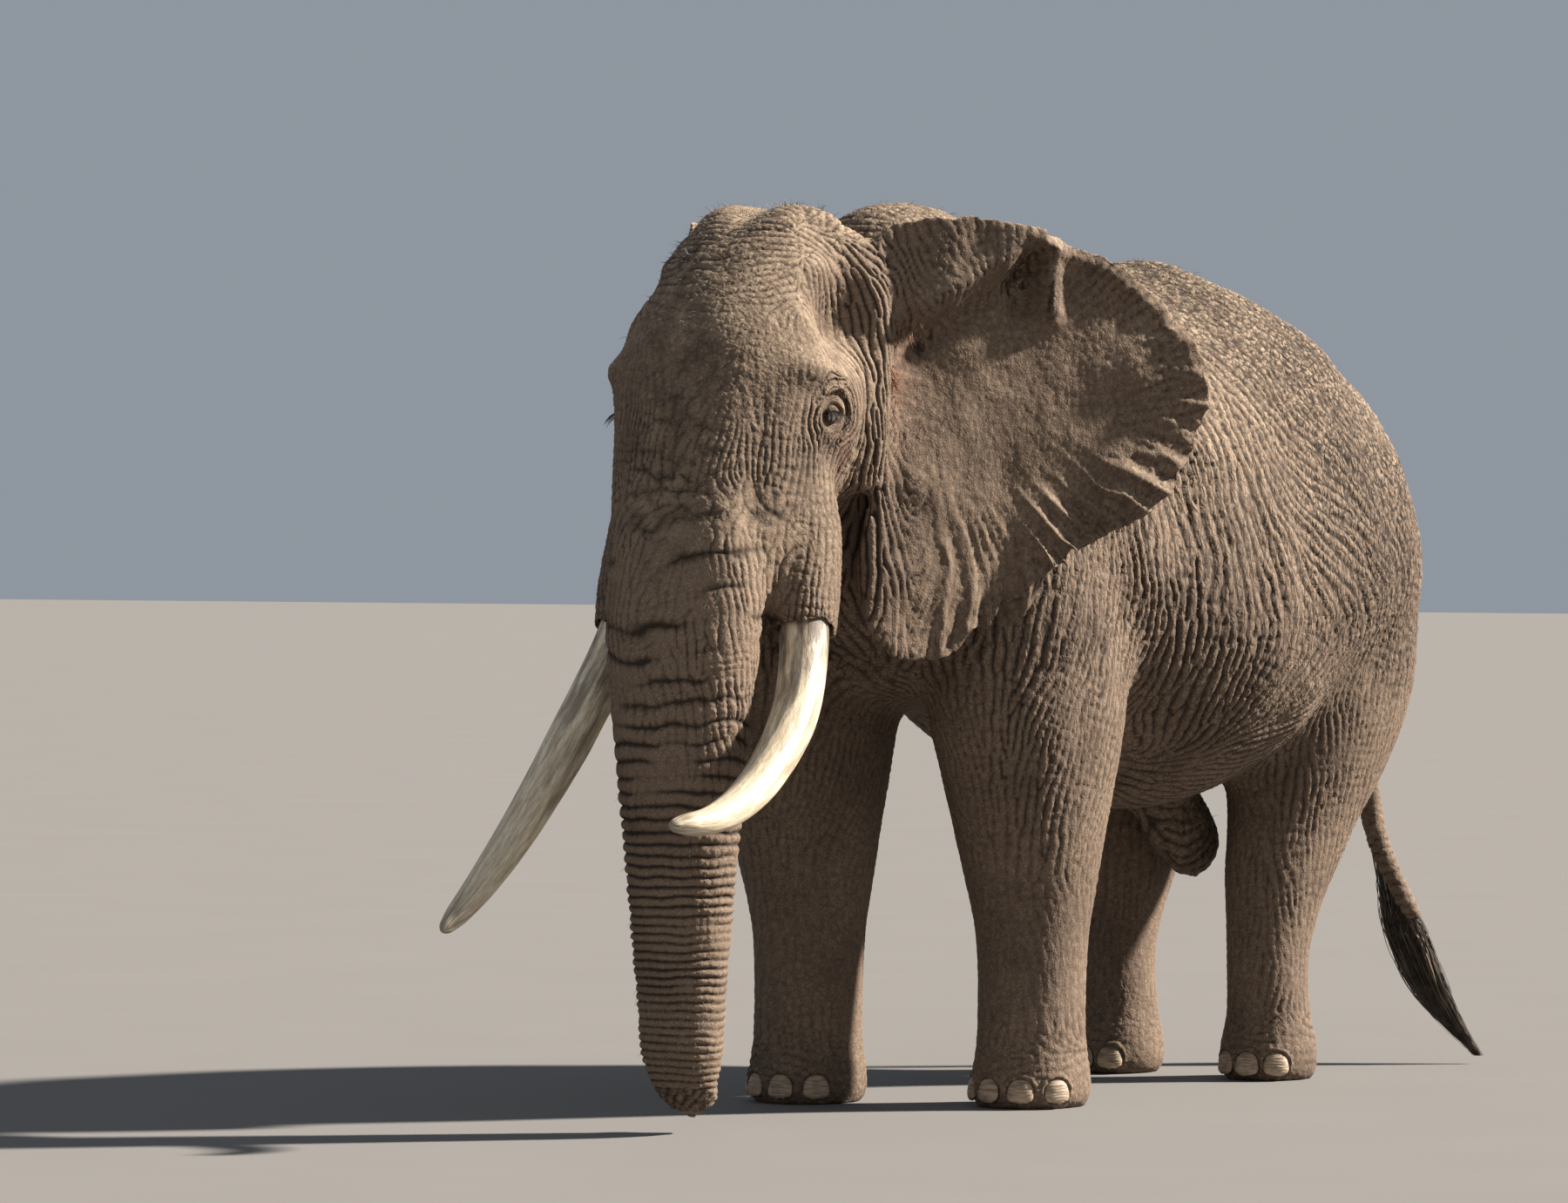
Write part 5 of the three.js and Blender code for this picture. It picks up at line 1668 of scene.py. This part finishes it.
def by_small_parts(points):
    """Whether these places are round an eye, at a tusk's lip or beside a toenail."""
    eyes = [eye_centre(side) for side in SIDES.values()]
    lips = [sheath_end(side)[0] for side in SIDES.values()]
    nails = [middle for leg in LEGS.values() for middle, _ in nail_seats(leg)]
    near = near_any(points, eyes, FINE_REACH["eye"]) | near_any(points, lips, FINE_REACH["lip"])
    return near | near_any(points, nails, FINE_REACH["nail"])


def at_lids(points):
    """Whether these places are at the slit between an eye's lids."""
    return near_any(points, [eye_centre(side) for side in SIDES.values()], FINE_REACH["slit"])


def bare_places(where):
    """How bare and brown the hide is: under the gland behind each eye, and in the ears' openings."""
    gland = bell(np.abs(where.across), 420, 90) * bell(where.back, 150, 52) * bell(where.height, 2330, 170)
    inner = sum(at["share"] * bell(at["u"], 60, 110) for at in where.ear.values())
    inner = inner * bell(where.height, 2740, 200)
    return np.clip(1.1 * gland + 0.9 * inner, 0, 1)


def cracked_places(where, points):
    """How strongly the net of cracks shows, in its relief and in its painted shade: most on the rump, and
    little on the head, ears and limbs.
    """
    limbs = np.clip(sum(where.leg.values()) + where.tail, 0, 1)
    body = lerp(0.55, 1, smoothstep(points[:, 1], 100, 700) * smoothstep(points[:, 2], 1500, 2300))
    body = body * lerp(1, 0.5, limbs)
    plain = np.clip(where.head + where.trunk + where.ears, 0, 1)
    return lerp(body, 0.16, plain)


def write_hide_values(mesh, where, points, normals, crease):
    """Writes what the hide's material reads at each point: its creases' painted shade, dust, thin skin and
    cracks.
    """
    upward = smoothstep(normals[:, 2], -0.2, 0.9) * smoothstep(points[:, 2], 900, 2600)
    flank = smoothstep(np.abs(points[:, 0]), 380, 640) * smoothstep(-points[:, 2], -2750, -2350)
    for name, values in (
        ("crease", crease),
        ("dust", 0.2 + 0.75 * upward),
        ("bare", bare_places(where)),
        ("cracked", cracked_places(where, points)),
        ("upright", flank),
    ):
        write_values(mesh, name, values)


def placed(name, mesh, made, replaces=()):
    """Puts one finished piece in the frame, on the body that carries the whole animal."""
    piece = add_object(name, mesh)
    mesh.materials.append(made)
    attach(piece, "root")
    if replaces:
        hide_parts(*replaces)


class ELEPHANT_OT_hide(bpy.types.Operator):
    """Makes the hide, one skin over the whole body."""

    bl_idname = "elephant.hide"
    bl_label = "Hide"

    def execute(self, context):
        mesh = joined_forms(context.scene.elephant_sizes.skin_cell)
        # The ears, tail, trunk and soles are smoothed least, so that they keep their size.
        where = Regions(points_of(mesh))
        weight = 1 - 0.92 * np.clip(where.ears + where.tail, 0, 1)
        weight = weight * (1 - 0.75 * where.trunk) * smoothstep(where.height, 30, 120)
        relaxed(mesh, rounds=40, weight=weight, fill=0.06)
        for chosen in (on_head, by_small_parts, at_lids):
            split_faces(mesh, chosen)
        mesh = finished(mesh, kind="SUBSURF", levels=1)
        points = points_of(mesh)
        points = shaped(points, normals_of(mesh), Regions(points))
        for side in SIDES.values():
            points = lidded(points, side)
        set_points(mesh, points)
        normals = normals_of(mesh)
        where = Regions(points)
        points, crease = folded(points, normals, where)
        points[:, 2] = np.maximum(points[:, 2], 0)
        set_points(mesh, points)
        write_hide_values(mesh, where, points, normals, crease)
        add_map(mesh, where, points)
        mesh.shade_smooth()
        placed("hide", mesh, hide_material(context.scene.elephant_colours), FLESH)
        return {"FINISHED"}


class ELEPHANT_OT_tusks(bpy.types.Operator):
    """Makes the two tusks, each with its own wear."""

    bl_idname = "elephant.tusks"
    bl_label = "Tusks"

    def execute(self, context):
        ivory = ivory_material(context.scene.elephant_colours)
        for name, side in SIDES.items():
            points, faces, grain = tusk(side)
            mesh = outward(mesh_of(f"ivory_{name}", points, faces))
            write_values(mesh, "along", grain[:, 2] / grain[:, 2].max())
            layer = mesh.attributes.new("grain", "FLOAT_VECTOR", "POINT")
            layer.data.foreach_set("vector", (grain * MM).astype(np.float32).ravel())
            placed(f"ivory_{name}", mesh, ivory, [f"tusk_{name}"])
        return {"FINISHED"}


class ELEPHANT_OT_eyes(bpy.types.Operator):
    """Makes the two eyes, which look out and a little forward."""

    bl_idname = "elephant.eyes"
    bl_label = "Eyes"

    def execute(self, context):
        wet = eye_material(context.scene.elephant_colours)
        for name, side in SIDES.items():
            points, faces, turn = eyeball(side)
            mesh = outward(mesh_of(f"eyeball_{name}", points, faces))
            write_values(mesh, "turn", turn)
            placed(f"eyeball_{name}", mesh, wet, [f"eye_{name}"])
        return {"FINISHED"}


class ELEPHANT_OT_nails(bpy.types.Operator):
    """Makes the toenails, four on each front foot and three on each hind foot."""

    bl_idname = "elephant.nails"
    bl_label = "Toenails"

    def execute(self, context):
        horn = nail_material(context.scene.elephant_colours)
        for name, leg in LEGS.items():
            for k, (middle, out) in enumerate(nail_seats(leg)):
                points, faces = toenail(middle, out, 70 + 5 * k + len(name))
                mesh = outward(mesh_of(f"toenail_{name}_{k + 1}", points, faces))
                write_values(mesh, "low", 1 - smoothstep(points[:, 2], 20, 80))
                placed(mesh.name, mesh, horn, [f"nail_{name}_{k + 1}"])
        return {"FINISHED"}


class ELEPHANT_OT_hair(bpy.types.Operator):
    """Makes the tail's long hair, the lashes, and the sparse hair of the ears, lip, crown and back."""

    bl_idname = "elephant.hair"
    bl_label = "Hair"

    def execute(self, context):
        colours = context.scene.elephant_colours
        wiry = hair_material("Elephant hair", colours.hair_dark, colours.hair_pale)
        reddish = hair_material("Ear hair", colours.hair_red, colours.hair_pale)
        rng = np.random.default_rng(5)
        count, steps, half = TAIL_HAIR.values()
        paths = tuft_paths(rng, count, steps)
        shade = np.where(rng.random(count) < 0.26, rng.uniform(0.4, 1.0, count), 0.02)
        mesh = locks("hair_tail", paths, tapered(half, steps, count), shade)
        placed("hair_tail", mesh, wiry, ["tail_tuft"])
        count, steps, half = LASH.values()
        for name, side in SIDES.items():
            paths = lash_paths(rng, side, count, steps)
            mesh = locks(f"lashes_{name}", paths, tapered(half, steps, count), np.zeros(count))
            placed(f"lashes_{name}", mesh, wiry)
        hide = bpy.data.objects["hide"].data
        sample = np.random.default_rng(8).choice(len(hide.vertices), HIDE_SAMPLE, replace=False)
        points, normals = points_of(hide)[sample], normals_of(hide)[sample]
        weights = coat_weights(Regions(points), normals)
        steps = SHORT_HAIR_STEPS
        for part, (count, lengths, lean, lie, half, pale) in SHORT_HAIR.items():
            paths = coat_paths(rng, points, normals, weights[part], count, lengths, lean, lie, steps)
            mesh = locks(f"hair_{part}", paths, tapered(half, steps, count), np.full(count, pale))
            placed(f"hair_{part}", mesh, reddish if part == "ears" else wiry)
        return {"FINISHED"}


# ---------------- stage
CAMERA_YAW = math.radians(37)
CAMERA_BACK, CAMERA_ACROSS, CAMERA_HEIGHT = 28.86, 1.065, 2.19  # metres
SENSOR_WIDTH, FOCAL_LENGTH = 36.0, 173.6  # millimetres
CAMERA_SHIFT = -0.0558  # how far the picture sits below the camera's own level, as a share of its width
FLOOR_HALF = 120  # metres
ROOM_LIGHT, LAMP_LIGHT = "#D8E3F0", "#FFF6EA"
ROOM_STRENGTH = 0.4
# Each lamp: where it stands, how many degrees wide its light is, and its strength.
LAMPS = {"key": ((8.9, 9.2, 10.6), 3, 14.0), "fill": ((6.0, -14.0, 7.0), 60, 0.25)}
LIT_POINT = (0.0, 0.0, 1.7)


def aimed(name, data, place, target):
    """Adds a lamp or a camera at a place, turned to a target."""
    piece = add_object(name, data)
    piece.location = place
    piece.rotation_euler = (Vector(target) - Vector(place)).to_track_quat("-Z", "Y").to_euler()
    return piece


class ELEPHANT_OT_stage(bpy.types.Operator):
    """Sets the plain floor, the soft studio lights and the camera."""

    bl_idname = "elephant.stage"
    bl_label = "Stage"

    def execute(self, context):
        corners = [(x * FLOOR_HALF, y * FLOOR_HALF, 0) for x, y in ((-1, -1), (1, -1), (1, 1), (-1, 1))]
        mesh = bpy.data.meshes.new("floor")
        mesh.from_pydata(corners, [], [(0, 1, 2, 3)])
        floor = add_object("floor", mesh)
        mesh.materials.append(floor_material(context.scene.elephant_colours))
        world = bpy.data.worlds.new("studio")
        context.scene.world = world
        world.use_nodes = True
        backdrop = world.node_tree.nodes["Background"]
        backdrop.inputs["Color"].default_value = linear(ROOM_LIGHT)
        backdrop.inputs["Strength"].default_value = ROOM_STRENGTH
        for name, (place, spread, power) in LAMPS.items():
            lamp = bpy.data.lights.new(name, "SUN")
            lamp.angle, lamp.energy = math.radians(spread), power
            lamp.color = linear(LAMP_LIGHT)[:3]
            aimed(name, lamp, place, LIT_POINT)
        ahead = np.array([-math.sin(CAMERA_YAW), math.cos(CAMERA_YAW), 0])
        right = np.array([math.cos(CAMERA_YAW), math.sin(CAMERA_YAW), 0])
        place = -ahead * CAMERA_BACK - right * CAMERA_ACROSS + UP * CAMERA_HEIGHT - ORIGIN * MM
        lens = bpy.data.cameras.new("camera")
        lens.sensor_width, lens.lens, lens.shift_y = SENSOR_WIDTH, FOCAL_LENGTH, CAMERA_SHIFT
        lens.clip_end = 400.0
        context.scene.camera = aimed("camera", lens, place, place + ahead)
        context.scene.view_settings.view_transform = "Standard"
        return {"FINISHED"}


# ---------------- the add-on
PIECES = (ELEPHANT_OT_hide, ELEPHANT_OT_tusks, ELEPHANT_OT_eyes, ELEPHANT_OT_nails, ELEPHANT_OT_hair)


class ELEPHANT_PT_build(bpy.types.Panel):
    """Lists the steps that finish the elephant."""

    bl_idname = "ELEPHANT_PT_build"
    bl_label = "Museum elephant"
    bl_space_type = "VIEW_3D"
    bl_region_type = "UI"
    bl_category = "Elephant"

    def draw(self, context):
        for group in (context.scene.elephant_sizes, context.scene.elephant_colours):
            for key in group.__annotations__:
                self.layout.prop(group, key)
        for step in (*PIECES, ELEPHANT_OT_stage):
            self.layout.operator(step.bl_idname)


CLASSES = (ElephantSizes, ElephantColours, *PIECES, ELEPHANT_OT_stage, ELEPHANT_PT_build)


def register():
    for item in CLASSES:
        bpy.utils.register_class(item)
    bpy.types.Scene.elephant_sizes = bpy.props.PointerProperty(type=ElephantSizes)
    bpy.types.Scene.elephant_colours = bpy.props.PointerProperty(type=ElephantColours)


def unregister():
    del bpy.types.Scene.elephant_sizes, bpy.types.Scene.elephant_colours
    for item in reversed(CLASSES):
        bpy.utils.unregister_class(item)


def main():
    register()
    for step in (*PIECES, ELEPHANT_OT_stage):
        group, name = step.bl_idname.split(".")
        getattr(getattr(bpy.ops, group), name)()
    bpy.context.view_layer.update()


if __name__ == "__main__":
    main()
